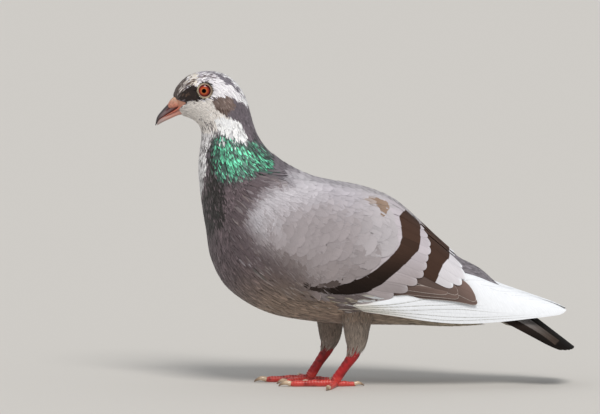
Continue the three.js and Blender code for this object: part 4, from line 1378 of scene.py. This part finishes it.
# Lays one side's primaries, with tufts over their roots
def dressPrimaries(side):
    coat = Coat()
    surface = wingSurface("blade", side)
    for k, (end, edge) in enumerate(zip(primaries["tips"], primaries["edges"])):

        def place(t, c, end=end, edge=edge, k=k):
            b = mix(primaries["root"], end, t)
            wave = 0.012 * np.sin(b * 1.7 + k * 1.3)
            blunt = 0.3 if k < 8 else 0.5
            reach = (edge + wave * (k < 9)) * np.minimum(1, blunt + 1.05 * roundTip(t, 0.5))
            reach = reach * roundTip(t, 0.05) ** 0.6
            top = primaries["overTop"] * roundTip(t, 0.12)
            q = mix(top, reach, np.clip(0.5 * (c + 1), 0, 1)) + 0.02 * (1 - roundTip(t, 0.05))
            return b, q, 0.3 - 0.07 * k + 0.03 * c

        points, form = layQuill(surface, place, 24, 9, 0.2, side, camber=0.03)
        t, c = form["along"], form["across"]
        colour = lay(shade["white"], shade["cream"], 0.5 * smooth(0.3, 0.05, t))
        # painted shadow line just inside the lower edge, fading out towards the tip
        line = lay(shade["edge"], shade["white"], smooth(0.5, 0.9, t))
        b = mix(primaries["root"], end, t)
        down = sizeOf(surface(b, 0 * t + 1) - surface(b, 0 * t))
        band = np.full(len(t), noBand)
        if k in primaries["shadowLined"]:
            band = 0.42 - np.abs((1 - c) / 2 * edge * down - 0.3)
        addQuill(coat, (points, form, (c * 8)[None], 24.0 * (end - 0.15)), colour, k, line, band, cells=10)
    # ragged white and cream tufts over their roots
    count = primaries["tufts"]
    y, z = chance.uniform(-24, 6, count), chance.uniform(53, 67, count)
    y = y - 0.9 * (z - 60)
    length = chance.uniform(7, 13, count)
    points, form, across = layVanes(
        lambda u, v: flankAt(u, v, side), y, z, fineVane, length, chance.uniform(0.4, 0.9, count), 0.8, 0.5,
        0.1, chance.normal(-0.16, 0.1, count), face=-side, e=0.7)
    tone = lay(shade["cream"] * 0.9, shade["white"], smooth(-18, 2, y + chance.normal(0, 5, count)))
    tone = lay(tone, shade["front"] * 1.1, chance.random(count) < 0.75 * smooth(2, -16, y))
    s, turn = nearestOnBody(flankAt(y, z, side))
    uv = np.stack([0.05 + 0.9 * (s - 7) / 11, 0.7 + 0.28 * np.abs(turn / pi - 1)], -1)
    coat.add(points, form, across, length, uv, vaneColour(tone, form, 0.03, 0.02))
    piece = coat.build(f"primaries{sideName(side)}", quillFinish, "white_feathers")
    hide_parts(f"primaries_{sideName(side).lower()}")


# One wing: coverts in one piece, quills in another, primaries in a third
def dressWing(side):
    coverts, quills = Coat(), Coat()
    dressCoverts(side, coverts)
    dressScapulars(side, coverts)
    coverts.build(f"wingCoverts{sideName(side)}", covertFinish, "wing_feathers")
    dressSecondaries(side, quills)
    dressGreaterCoverts(side, quills)
    quills.build(f"wingQuills{sideName(side)}", quillFinish, "wing_feathers")
    dressPrimaries(side)


for side in (1, -1):
    dressWing(side)


# Tail: twelve feathers, the middle pair on top, near black with a grey wedge on the outer ones, and
# coverts under and over their roots
tailCoat = {
    "count": 12,
    "dark": (rgb(36, 28, 25), rgb(14, 9, 6)),
    "grey": (rgb(132, 128, 128), rgb(60, 50, 44)),
    "wedge": [(90, 60), (102, 47.5), (112, 42), (124, 34.5), (131, 29), (136, 34), (120, 52), (100, 66)],
    "under": {"f": (0.0, 0.42, 0.045), "u": (0.85, 11), "length": 20.0, "width": 5.5, "lift": 1.2, "face": -1,
              "colour": rgb(176, 168, 156), "spread": 0.05, "map": (0.0, 0.5, 0.6, 0.3)},
    "over": {"f": (-0.06, 0.2, 0.04), "u": (0.8, 9), "length": 17.0, "width": 5.2, "lift": 0.6, "face": 1,
             "colour": rgb(120, 115, 121), "spread": 0.08, "map": (0.06, 0.3, 0.92, 0.06)},
}


# Rows of coverts over one face of the tail
def tailCoverts(coat, row, tipShade=None):
    f, u = grid(np.arange(*row["f"]), np.linspace(-row["u"][0], row["u"][0], row["u"][1]))
    f, u = f.ravel() + chance.uniform(-0.015, 0.015, f.size), u.ravel() + chance.uniform(-0.05, 0.05, f.size)
    points, form, across = layVanes(
        tailAt, f, u, broadVane, row["length"] * jitter(len(f), 0.1), row["width"], row["lift"], 1.6, 0.4,
        chance.normal(0, 0.05, len(f)), camber=0.3, face=row["face"])
    ahead, span, low, high = row["map"]
    uv = np.stack([0.05 + 0.9 * (f + ahead) / span, low + high * (u + 1) / 2], -1)
    colour = vaneColour(np.ones((len(f), 3)) * row["colour"], form, row["spread"])
    if tipShade is not None:
        colour = mix(colour, tipShade, (0.7 * smooth(0.75, 0.95, form["along"]))[None, :, None])
    coat.add(points, form, across, np.full(len(f), row["length"]), uv, colour)


# The tail's own feathers are laid one by one, then the coverts
def dressTail():
    coat = Coat()
    count = tailCoat["count"]
    for k in range(count):
        middle = (k - (count - 1) / 2) / (count / 2)
        toward = -np.sign(middle)

        def place(t, c, middle=middle, toward=toward):
            f = mix(0.02, 0.995, t)
            u = middle * 0.9 + c * 0.15 * roundTip(t, 0.09)
            return f, u, 0.7 - 1.2 * abs(middle) + 0.25 * c * toward

        points, form = layQuill(tailAt, place, 16, 5, 0.36, 1, camber=0.12)
        tone = 1 + 0.08 * chance.normal()
        darker = smooth(0.55, 0.9, form["along"])
        dark, grey = lay(*tailCoat["dark"], darker), lay(*tailCoat["grey"], darker)
        band = (0.55 - form["along"]) * 90
        if abs(middle) > 0.5:
            band = insideOf(points[0], tailCoat["wedge"])
        quill = points, form, (form["across"] * 5.5)[None], 98.0
        addQuill(coat, quill, dark * tone, k, grey * tone, band, cells=count)
    tailCoverts(coat, tailCoat["under"])
    tailCoverts(coat, tailCoat["over"], rgb(66, 60, 63))
    piece = coat.build("tailFeathers", quillFinish, "tail_feathers")
    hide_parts("tail")


dressTail()


thighCoat = {
    "ends": (0.3, 4.6), "step": 1.2, "gap": 0.95, "length": 6.5, "width": 0.55, "upper": rgb(134, 122, 112),
    "lower": rgb(154, 143, 134), "fringe": 130, "fringeShade": rgb(156, 145, 136), "stain": rgb(116, 62, 54),
}


# The thigh's chart
def thighUv(s, turn):
    return np.stack([0.03 + 0.94 * s / 5, 0.03 + 0.94 * turn / (2 * pi)], -1)


# Thighs: fine feathers down to the heel, and uneven longer ones over the top of the shank, some of
# them stained
def dressThighs():
    for name, leg in legs.items():
        coat = Coat()
        surface = lambda s, turn, leg=leg: thighAt(leg, s, turn)
        s, turn = ringRoots(surface, *thighCoat["ends"], thighCoat["step"], thighCoat["gap"])
        length = thighCoat["length"] * np.interp(s, [0, 3.5, 4.6], [1, 0.85, 0.95]) * jitter(len(s), 0.25)
        length = length * np.where(s > 3.9, chance.uniform(0.5, 1.5, len(s)), 1)
        points, form, across = layVanes(
            surface, s, turn, fineVane, length, thighCoat["width"] * jitter(len(s), 0.2), -0.6,
            0.55 * jitter(len(s), 0.25), 0.16, chance.normal(0, 0.16, len(s)), face=-leg["side"])
        # darker at the top than near the heel, in part as painted shade under the belly
        ground = lay(thighCoat["upper"], thighCoat["lower"], smooth(2, 4.5, s))
        seen = tipsOf(points, form)
        ground = lay(ground, bodyColour(seen), smooth(40, 48, seen[:, 2]))
        coat.add(points, form, across, length, thighUv(s, turn % (2 * pi)),
                 vaneColour(ground, form, 0.08, 0.06))
        count = thighCoat["fringe"]
        s, turn = chance.uniform(3.5, 4.6, count), chance.uniform(0, 2 * pi, count)
        length = chance.uniform(4, 12, count)
        points, form, across = layVanes(
            surface, s, turn, fineVane, length, chance.uniform(0.3, 0.55, count), -0.3,
            chance.uniform(0.5, 1.1, count), 0.14, chance.normal(0, 0.22, count), face=-leg["side"])
        stained = (chance.random((count, 1)) < 0.3) * 0.8
        tone = mix(thighCoat["fringeShade"], thighCoat["stain"], stained)
        coat.add(points, form, across, length, thighUv(s, turn), vaneColour(tone, form, 0.08, 0.06))
        coat.build(f"thighFeathers{name.capitalize()}", downFinish, "thigh_feathers")


dressThighs()


bill = {
    "rows": [
        [-127.5, 200.0, -121.5, 195.4, -123.5, 187.2, 4.6],
        [-132.4, 198.2, -127.2, 192.4, -128.8, 186.3, 4.3],
        [-136.4, 193.8, -132.6, 189.3, -133.6, 184.3, 3.6],
        [-140.2, 189.6, -137.8, 186.2, -138.6, 182.0, 2.7],
        [-143.5, 185.1, -142.2, 183.2, -142.2, 180.1, 1.7],
        [-144.8, 179.4, -144.3, 179.2, -144.0, 179.0, 0.5],
    ],
    "lowerEnd": 4.6,
}


# Bill half: rounded sections between its top edge and its bottom edge
def billHalf(name, top, low, end, narrow, tone):
    t, turn = grid(np.linspace(0, end, 46), wholeTurn(32))
    row = through(bill["rows"], t)
    up = (row[..., top:top + 2] - row[..., low:low + 2]) / 2
    middle = (row[..., top:top + 2] + row[..., low:low + 2]) / 2
    x = row[..., 6] * narrow * np.sign(np.sin(turn)) * np.abs(np.sin(turn)) ** 0.8
    yz = middle + up * np.cos(turn)[..., None]
    points, quads, tris, uv = tubeMesh(np.stack([x, yz[..., 0], yz[..., 1]], -1))
    height = np.concatenate([np.cos(turn).ravel(), [0, 0]])
    reach = np.concatenate([t.ravel(), [0, end]])
    return makePiece(name, points, quads, tris, hornFinish, "bill_horn", bake=uv,
                     tint=withAlpha(tone(reach, height, points)))


# Upper bill: slate to near black at the tip, darker on its ridge, a pale flank, and the nostril's slit
def upperTone(t, height, p):
    colour = lay(rgb(96, 82, 84), rgb(54, 46, 46), smooth(2.8, 4.7, t))
    colour = lay(colour, rgb(50, 42, 42), 0.85 * smooth(0.3, 0.85, height))
    pale = smooth(1.0, 1.8, t) * smooth(4.4, 3.0, t) * smooth(0.35, 0.0, height)
    colour = lay(colour, rgb(148, 124, 128), 0.6 * pale)
    colour = lay(colour, rgb(150, 70, 60), 0.8 * smooth(-0.6, -0.95, height) * smooth(4.6, 3.6, t))
    slit = smooth(0.32, 0.1, np.abs(height - 0.12 + 0.12 * (t - 1.8))) * smooth(0.5, 0.9, t)
    slit = slit * smooth(2.75, 2.3, t)
    return lay(colour, rgb(78, 20, 22), slit)


# Lower bill: flesh to grey at the tip, redder along the gape and underneath
def lowerTone(t, height, p):
    colour = lay(rgb(206, 146, 130), rgb(172, 150, 146), smooth(1.6, 3.8, t))
    colour = lay(colour, rgb(186, 96, 80), 0.7 * smooth(0.4, 0.9, height) * smooth(4.4, 2.6, t))
    return lay(colour, rgb(120, 66, 56), 0.6 * smooth(-0.75, -0.98, height))


upper = billHalf("billUpper", 0, 2, 5.0, 1.0, upperTone)
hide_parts("bill_upper")
lower = billHalf("billLower", 2, 4, bill["lowerEnd"], 0.93, lowerTone)
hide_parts("bill_lower")


# A bean, longer than wide, turned in side view; used for the cere's two lobes
def bean(at, size, lean, box):
    turn, up = grid(wholeTurn(40), np.linspace(-0.47, 0.47, 20) * pi)
    x, along = size[0] * np.cos(up) * np.cos(turn), size[1] * np.sin(up)
    z = size[2] * np.cos(up) * np.sin(turn)
    y = along * cos(lean) - z * sin(lean)
    z = along * sin(lean) + z * cos(lean)
    rings = np.stack([x + at[0], y + at[1], z + at[2]], -1).transpose(1, 0, 2)
    return tubeMesh(rings, box)


# Several tubes as one mesh, each one's faces counted on from the last
def joinMeshes(parts):
    shift = np.cumsum([0] + [len(p[0]) for p in parts[:-1]])
    points = np.vstack([p[0] for p in parts])
    quads = np.vstack([p[1] + s for p, s in zip(parts, shift)])
    tris = np.vstack([p[2] + s for p, s in zip(parts, shift)])
    return points, quads, tris, (np.vstack([p[3][0] for p in parts]), np.vstack([p[3][1] for p in parts]))


# Cere: two swollen lobes on each side, roughened outwards by noise, with darker pores
def buildCere():
    parts = []
    for side, low in ((1, 0.51), (-1, 0.01)):
        parts.append(bean((side * 1.9, -131.5, 195.9), (2.6, 5.6, 2.6), radians(39),
                          (0.01, low, 0.49, low + 0.48)))
        parts.append(bean((side * 3.1, -130.4, 194.9), (2.2, 6.0, 2.7), radians(25),
                          (0.51, low, 0.99, low + 0.48)))
    points, quads, tris, uv = joinMeshes(parts)
    rough = 0.22 * drift(points, 1.3) + 0.12 * drift(points, 0.6, 5)
    points = points + rough[:, None] * unit(points - np.array([0, -131, 193.5]))
    tone = lay(rgb(196, 132, 112), rgb(208, 168, 142), smooth(193, 199, points[:, 2]))
    tone = tone * (1 + 0.5 * rough - 0.26 * smooth(0.2, 0.5, drift(points, 0.55, 9)))[:, None]  # darker pores
    piece = makePiece("cere", points, quads, tris, bareFinish, "bill_skin", bake=uv, tint=withAlpha(tone))
    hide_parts("cere")


# Rings round a path: out from its middle by a radius at each turn, square to the way ahead
def ringsAbout(middle, radius, front, turn):
    ahead = unit(np.gradient(middle, axis=0))
    across = unit(np.cross(ahead, np.array(front, float)))
    up = np.cross(across, ahead)
    spoke = across[:, None] * np.cos(turn)[:, None] + up[:, None] * np.sin(turn)[:, None]
    return middle[:, None] + radius[..., None] * spoke


# A round tube along points, with a radius at each
def softTube(path, radii, steps, around, box=(0.02, 0.02, 0.98, 0.98)):
    t = np.linspace(0, len(path) - 1, steps)
    middle = through(path, t)
    return tubeMesh(ringsAbout(middle, through(radii, t), (0.02, 0.01, 1), wholeTurn(around)), box)


# Gape: a swollen rim from the bill's middle back under the eye
def buildGape():
    parts = []
    for side, low in ((1, 0.51), (-1, 0.01)):
        path = [(side * 2.5, -137.4, 186.2), (side * 3.6, -134.0, 188.0), (side * 4.5, -130.4, 190.1),
                (side * 5.9, -127.0, 192.7), (side * 7.3, -123.7, 195.2)]
        parts.append(softTube(path, [0.2, 0.42, 0.56, 0.74, 0.6], 30, 14, (0.01, low, 0.99, low + 0.48)))
    points, quads, tris, uv = joinMeshes(parts)
    tone = lay(rgb(196, 112, 92), rgb(224, 172, 150), smooth(-130, -123, points[:, 1]))
    tone = tone * (1 + 0.08 * drift(points, 1.2))[:, None]
    makePiece("gape", points, quads, tris, bareFinish, "bill_skin", bake=uv, tint=withAlpha(tone))


buildCere()
buildGape()
print("bill made")


# Eyeball finish: pupil, iris and its dark rim as rings about the eye's axis, under a wet coat
def eyeFinish():
    finish, tree, shader = newFinish("eyeball", 0.1, Coat_Roughness=0.03)
    place = addNode(tree, "ShaderNodeTexCoord")
    centre = addNode(tree, "ShaderNodeMapping", vector_type="POINT")
    # looks a little down
    centre.inputs["Location"].default_value = (0, (0.12 - eye["y"]) * mm, (0.16 - eye["z"]) * mm)
    join(tree, place.outputs["Object"], centre.inputs["Vector"])
    flat = addNode(tree, "ShaderNodeVectorMath", operation="MULTIPLY")
    flat.inputs[1].default_value = (0, 1, 1)
    join(tree, centre.outputs[0], flat.inputs[0])
    reach = addNode(tree, "ShaderNodeVectorMath", operation="LENGTH")
    join(tree, flat.outputs[0], reach.inputs[0])
    heading = addNode(tree, "ShaderNodeVectorMath", operation="NORMALIZE")
    join(tree, flat.outputs[0], heading.inputs[0])
    fibres = addNode(tree, "ShaderNodeTexNoise", Scale=9.0, Detail=3.0)
    join(tree, heading.outputs[0], fibres.inputs["Vector"])
    scaled = maths(tree, "MULTIPLY", reach.outputs["Value"], 1 / (6 * mm))
    ripple = maths(tree, "SUBTRACT", fibres.outputs["Fac"], 0.5)
    wavy = maths(tree, "ADD", scaled, maths(tree, "MULTIPLY", ripple, 0.1))
    rings = addNode(tree, "ShaderNodeValToRGB")
    stops = [(0.0, (3, 2, 2)), (0.235, (5, 3, 3)), (0.275, (156, 84, 42)), (0.33, (198, 100, 46)),
             (0.43, (164, 54, 22)), (0.55, (122, 28, 15)), (0.64, (70, 16, 11)), (0.72, (26, 14, 12))]
    ramp = rings.color_ramp
    while len(ramp.elements) < len(stops):
        ramp.elements.new(0.5)
    for element, (at, colour) in zip(ramp.elements, stops):
        element.position = at
        element.color = (*linear(colour), 1)
    join(tree, wavy, rings.inputs["Fac"])
    join(tree, rings.outputs["Color"], shader.inputs["Base Color"])
    # the pupil stays black
    join(tree, mapRange(tree, scaled, 0.2, 0.3, 0.0, 0.2), shader.inputs["Coat Weight"])
    join(tree, mapRange(tree, scaled, 0.2, 0.3, 0.02, 0.25), shader.inputs["Specular IOR Level"])
    return finish


# Eyeballs: spheres about an axis across the head
def buildEyes():
    finish = eyeFinish()
    for name, side in (("left", 1), ("right", -1)):
        at = (side * (eye["apex"] - eye["ball"]), eye["y"], eye["z"])
        turn, up = grid(wholeTurn(48), np.linspace(-0.48, 0.48, 40) * pi)
        ball = np.stack([np.sin(up), np.cos(up) * np.cos(turn), np.cos(up) * np.sin(turn)], -1) * eye["ball"]
        points, quads, tris, _ = tubeMesh((ball + at).transpose(1, 0, 2))
        piece = makePiece(f"eyeball{name.capitalize()}", points, quads, tris, finish, "eye_cornea")
        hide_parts(f"eye_{name}")


buildEyes()


toes = [
    {"digit": 1, "bearing": 190, "length": 13.5, "radius": 2.1, "claw": 6.0},
    {"digit": 2, "bearing": -30, "length": 22.0, "radius": 2.15, "claw": 6.5},
    {"digit": 3, "bearing": 0, "length": 31.5, "radius": 2.6, "claw": 7.5},
    {"digit": 4, "bearing": 78, "length": 23.5, "radius": 2.2, "claw": 6.5},
]


# A limb with broad scales across its front: a round tube whose upper side steps at each scale
def scaledLimb(path, radii, scales, floor, steps=120, around=26, front=(0, 0, 1),
               box=(0.02, 0.02, 0.98, 0.98)):
    t = np.linspace(0, 1, steps)
    middle = through(path, t * (len(path) - 1))
    turn = wholeTurn(around)
    radius = through(radii, t * (len(radii) - 1))
    saw = (t * scales) % 1
    step = smooth(0, 0.25, saw) * smooth(1.0, 0.55, saw)
    onFront = smooth(-0.1, 0.6, np.sin(turn))
    swell = 1 + 0.055 * step[:, None] * onFront - 0.02 * (1 - onFront) * np.abs(np.sin(t * 60))[:, None]
    rings = ringsAbout(middle, radius * swell, front, turn)
    rings[..., 2] = np.maximum(rings[..., 2], floor)
    seam = np.broadcast_to((1 - step)[:, None] * onFront, rings.shape[:2])
    return tubeMesh(rings, box), np.concatenate([seam.ravel(), [0, 0]])


# A point over the floor, out along a toe's bearing from the middle of the foot
def toePoint(leg, toe, reach, z):
    bearing = radians(toe["bearing"] + leg["turn"])
    return (leg["foot"][0] + leg["side"] * sin(bearing) * reach, leg["foot"][1] - cos(bearing) * reach, z)


# Foot: a scaled shank, four scaled toes and a pad, red with paler seams between scales
def buildFoot(name, leg):
    footX, footY, footZ = leg["foot"]
    heelX, heelY, heelZ = leg["heel"]
    top = (heelX, heelY - 1.4, heelZ - 2.6)
    middle = ((top[0] + footX) / 2, (top[1] + footY) / 2 - 0.4, (top[2] + footZ) / 2)
    path = [(heelX, heelY + 0.6, heelZ + 1.5), top, middle, (footX, footY + 0.6, footZ + 1.6),
            (footX, footY - 0.6, footZ - 0.6)]
    parts, seams = [], []
    mesh, seam = scaledLimb(path, [3.6, 3.8, 3.2, 3.4, 3.1], 12, 0.15, front=(0, -1, 0.6),
                            box=(0.01, 0.81, 0.8, 0.99))
    pad = bean((footX, footY, 1.75), (2.9, 3.0, 1.7), 0, (0.82, 0.81, 0.99, 0.99))  # under the sole
    parts += [mesh, pad]
    seams += [seam, np.zeros(len(pad[0]))]
    for toe in toes:
        f = np.linspace(0, 1, 7)
        radius = toe["radius"] * mix(1.06, 0.8, f) * (1 + 0.06 * np.cos(f * pi * 4))
        path = [toePoint(leg, toe, mix(-0.5, toe["length"] + 0.6, a), b - 0.35) for a, b in zip(f, radius)]
        low = 0.01 + 0.2 * (toe["digit"] - 1)
        mesh, seam = scaledLimb(path, list(radius) + [radius[-1] * 0.55], int(toe["length"] / 1.9), 0.0,
                                around=20, box=(0.01, low, 0.99, low + 0.18))
        parts.append(mesh)
        seams.append(seam)
    points, quads, tris, uv = joinMeshes(parts)
    seam = np.concatenate(seams)
    onToe = smooth(8, 5.5, points[:, 2])
    red = lay(rgb(172, 24, 28), rgb(204, 62, 56), onToe)
    # darker in noise mottles, and up the shank in part as painted shade under the thigh feathers
    dark = 0.6 * smooth(-0.1, 0.7, drift(points, 3.1)) + 0.3 * smooth(16, 24, points[:, 2])
    red = lay(red, rgb(96, 10, 14), dark)
    red = lay(red, rgb(200, 108, 96), 0.5 * smooth(2.2, 0.6, points[:, 2]))
    tone = lay(red, rgb(222, 138, 126), seam * mix(0.22, 0.55, onToe))
    piece = makePiece(f"foot{name.capitalize()}", points, quads, tris, scaleFinish, "leg_skin", bake=uv,
                      tint=withAlpha(tone))
    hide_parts(f"shank_{name}", *[f"toe_{name}_{toe['digit']}" for toe in toes])
    for toe in toes:
        buildClaw(name, leg, toe)


# Claw: a tapering tube that arches over and comes down to the floor
def buildClaw(name, leg, toe):
    base = toe["radius"] * 0.72
    rise = [base + 0.1, base + 0.75, base * 0.85 + 0.1, 0.3]
    steps = zip((0, 0.4, 0.78, 1), rise)
    path = [toePoint(leg, toe, toe["length"] - 0.6 + (toe["claw"] + 1.0) * f, z) for f, z in steps]
    points, quads, tris, uv = softTube(path, [base, base * 0.82, base * 0.5, 0.28], 26, 16)
    points[:, 2] = np.maximum(points[:, 2], 0.05)
    far = sizeOf(points[:, :2] - np.array(leg["foot"][:2])) - toe["length"]
    tone = lay(rgb(208, 184, 156), rgb(128, 104, 84), smooth(0.35 * toe["claw"], toe["claw"], far))
    piece = makePiece(f"claw{name.capitalize()}{toe['digit']}", points, quads, tris, hornFinish, "claw_horn",
                      bake=uv, tint=withAlpha(tone))
    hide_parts(f"claw_{name}_{toe['digit']}")


for name, leg in legs.items():
    buildFoot(name, leg)
print("feet made")


studio = {
    "floorHalf": 40.0, "floorColour": (0.62, 0.6, 0.57, 1), "worldColour": (0.96, 0.98, 1, 1),
    "worldStrength": 0.52, "lampStrength": 2.0, "lampSpread": radians(24), "lampColour": (1.0, 0.97, 0.93),
    "lampTurn": (0, radians(38), radians(16)), "azimuth": radians(90), "elevation": radians(5),
    "distance": 6.0, "across": 0.414, "target": (0, -0.045, 0.1228),
}


# Floor: one wide pale sheet
def buildFloor():
    mesh = bpy.data.meshes.new("floor")
    half = studio["floorHalf"]
    mesh.from_pydata([(-half, -half, 0), (half, -half, 0), (half, half, 0), (-half, half, 0)], [],
                     [(0, 1, 2, 3)])
    floor = newObject("floor", mesh)
    finish, _, shader = newFinish("floorPaint", 0.9)
    shader.inputs["Base Color"].default_value = studio["floorColour"]
    mesh.materials.append(finish)


# One broad soft lamp high on the camera's side, and an even pale world
def lightScene():
    world = bpy.data.worlds.new("studio")
    world.use_nodes = True
    sky = world.node_tree.nodes["Background"]
    sky.inputs["Color"].default_value = studio["worldColour"]
    sky.inputs["Strength"].default_value = studio["worldStrength"]
    bpy.context.scene.world = world
    data = bpy.data.lights.new("key", "SUN")
    data.energy = studio["lampStrength"]
    data.angle = studio["lampSpread"]
    data.color = studio["lampColour"]
    lamp = newObject("key", data)
    lamp.rotation_euler = studio["lampTurn"]


# Camera: a long lens that sees a width of "across" at the target, from the azimuth and elevation given
def placeCamera():
    azimuth, elevation = studio["azimuth"], studio["elevation"]
    toCamera = np.array([sin(azimuth) * cos(elevation), -cos(azimuth) * cos(elevation), sin(elevation)])
    data = bpy.data.cameras.new("camera")
    data.sensor_width = 36
    data.lens = data.sensor_width * studio["distance"] / studio["across"]
    data.clip_end = 200
    camera = newObject("camera", data)
    camera.location = np.array(studio["target"]) + toCamera * studio["distance"]
    camera.rotation_euler = (pi / 2 - elevation, 0, azimuth)
    bpy.context.scene.camera = camera


buildFloor()
lightScene()
placeCamera()
bpy.context.scene.view_settings.view_transform = "Standard"

print("scene ready")
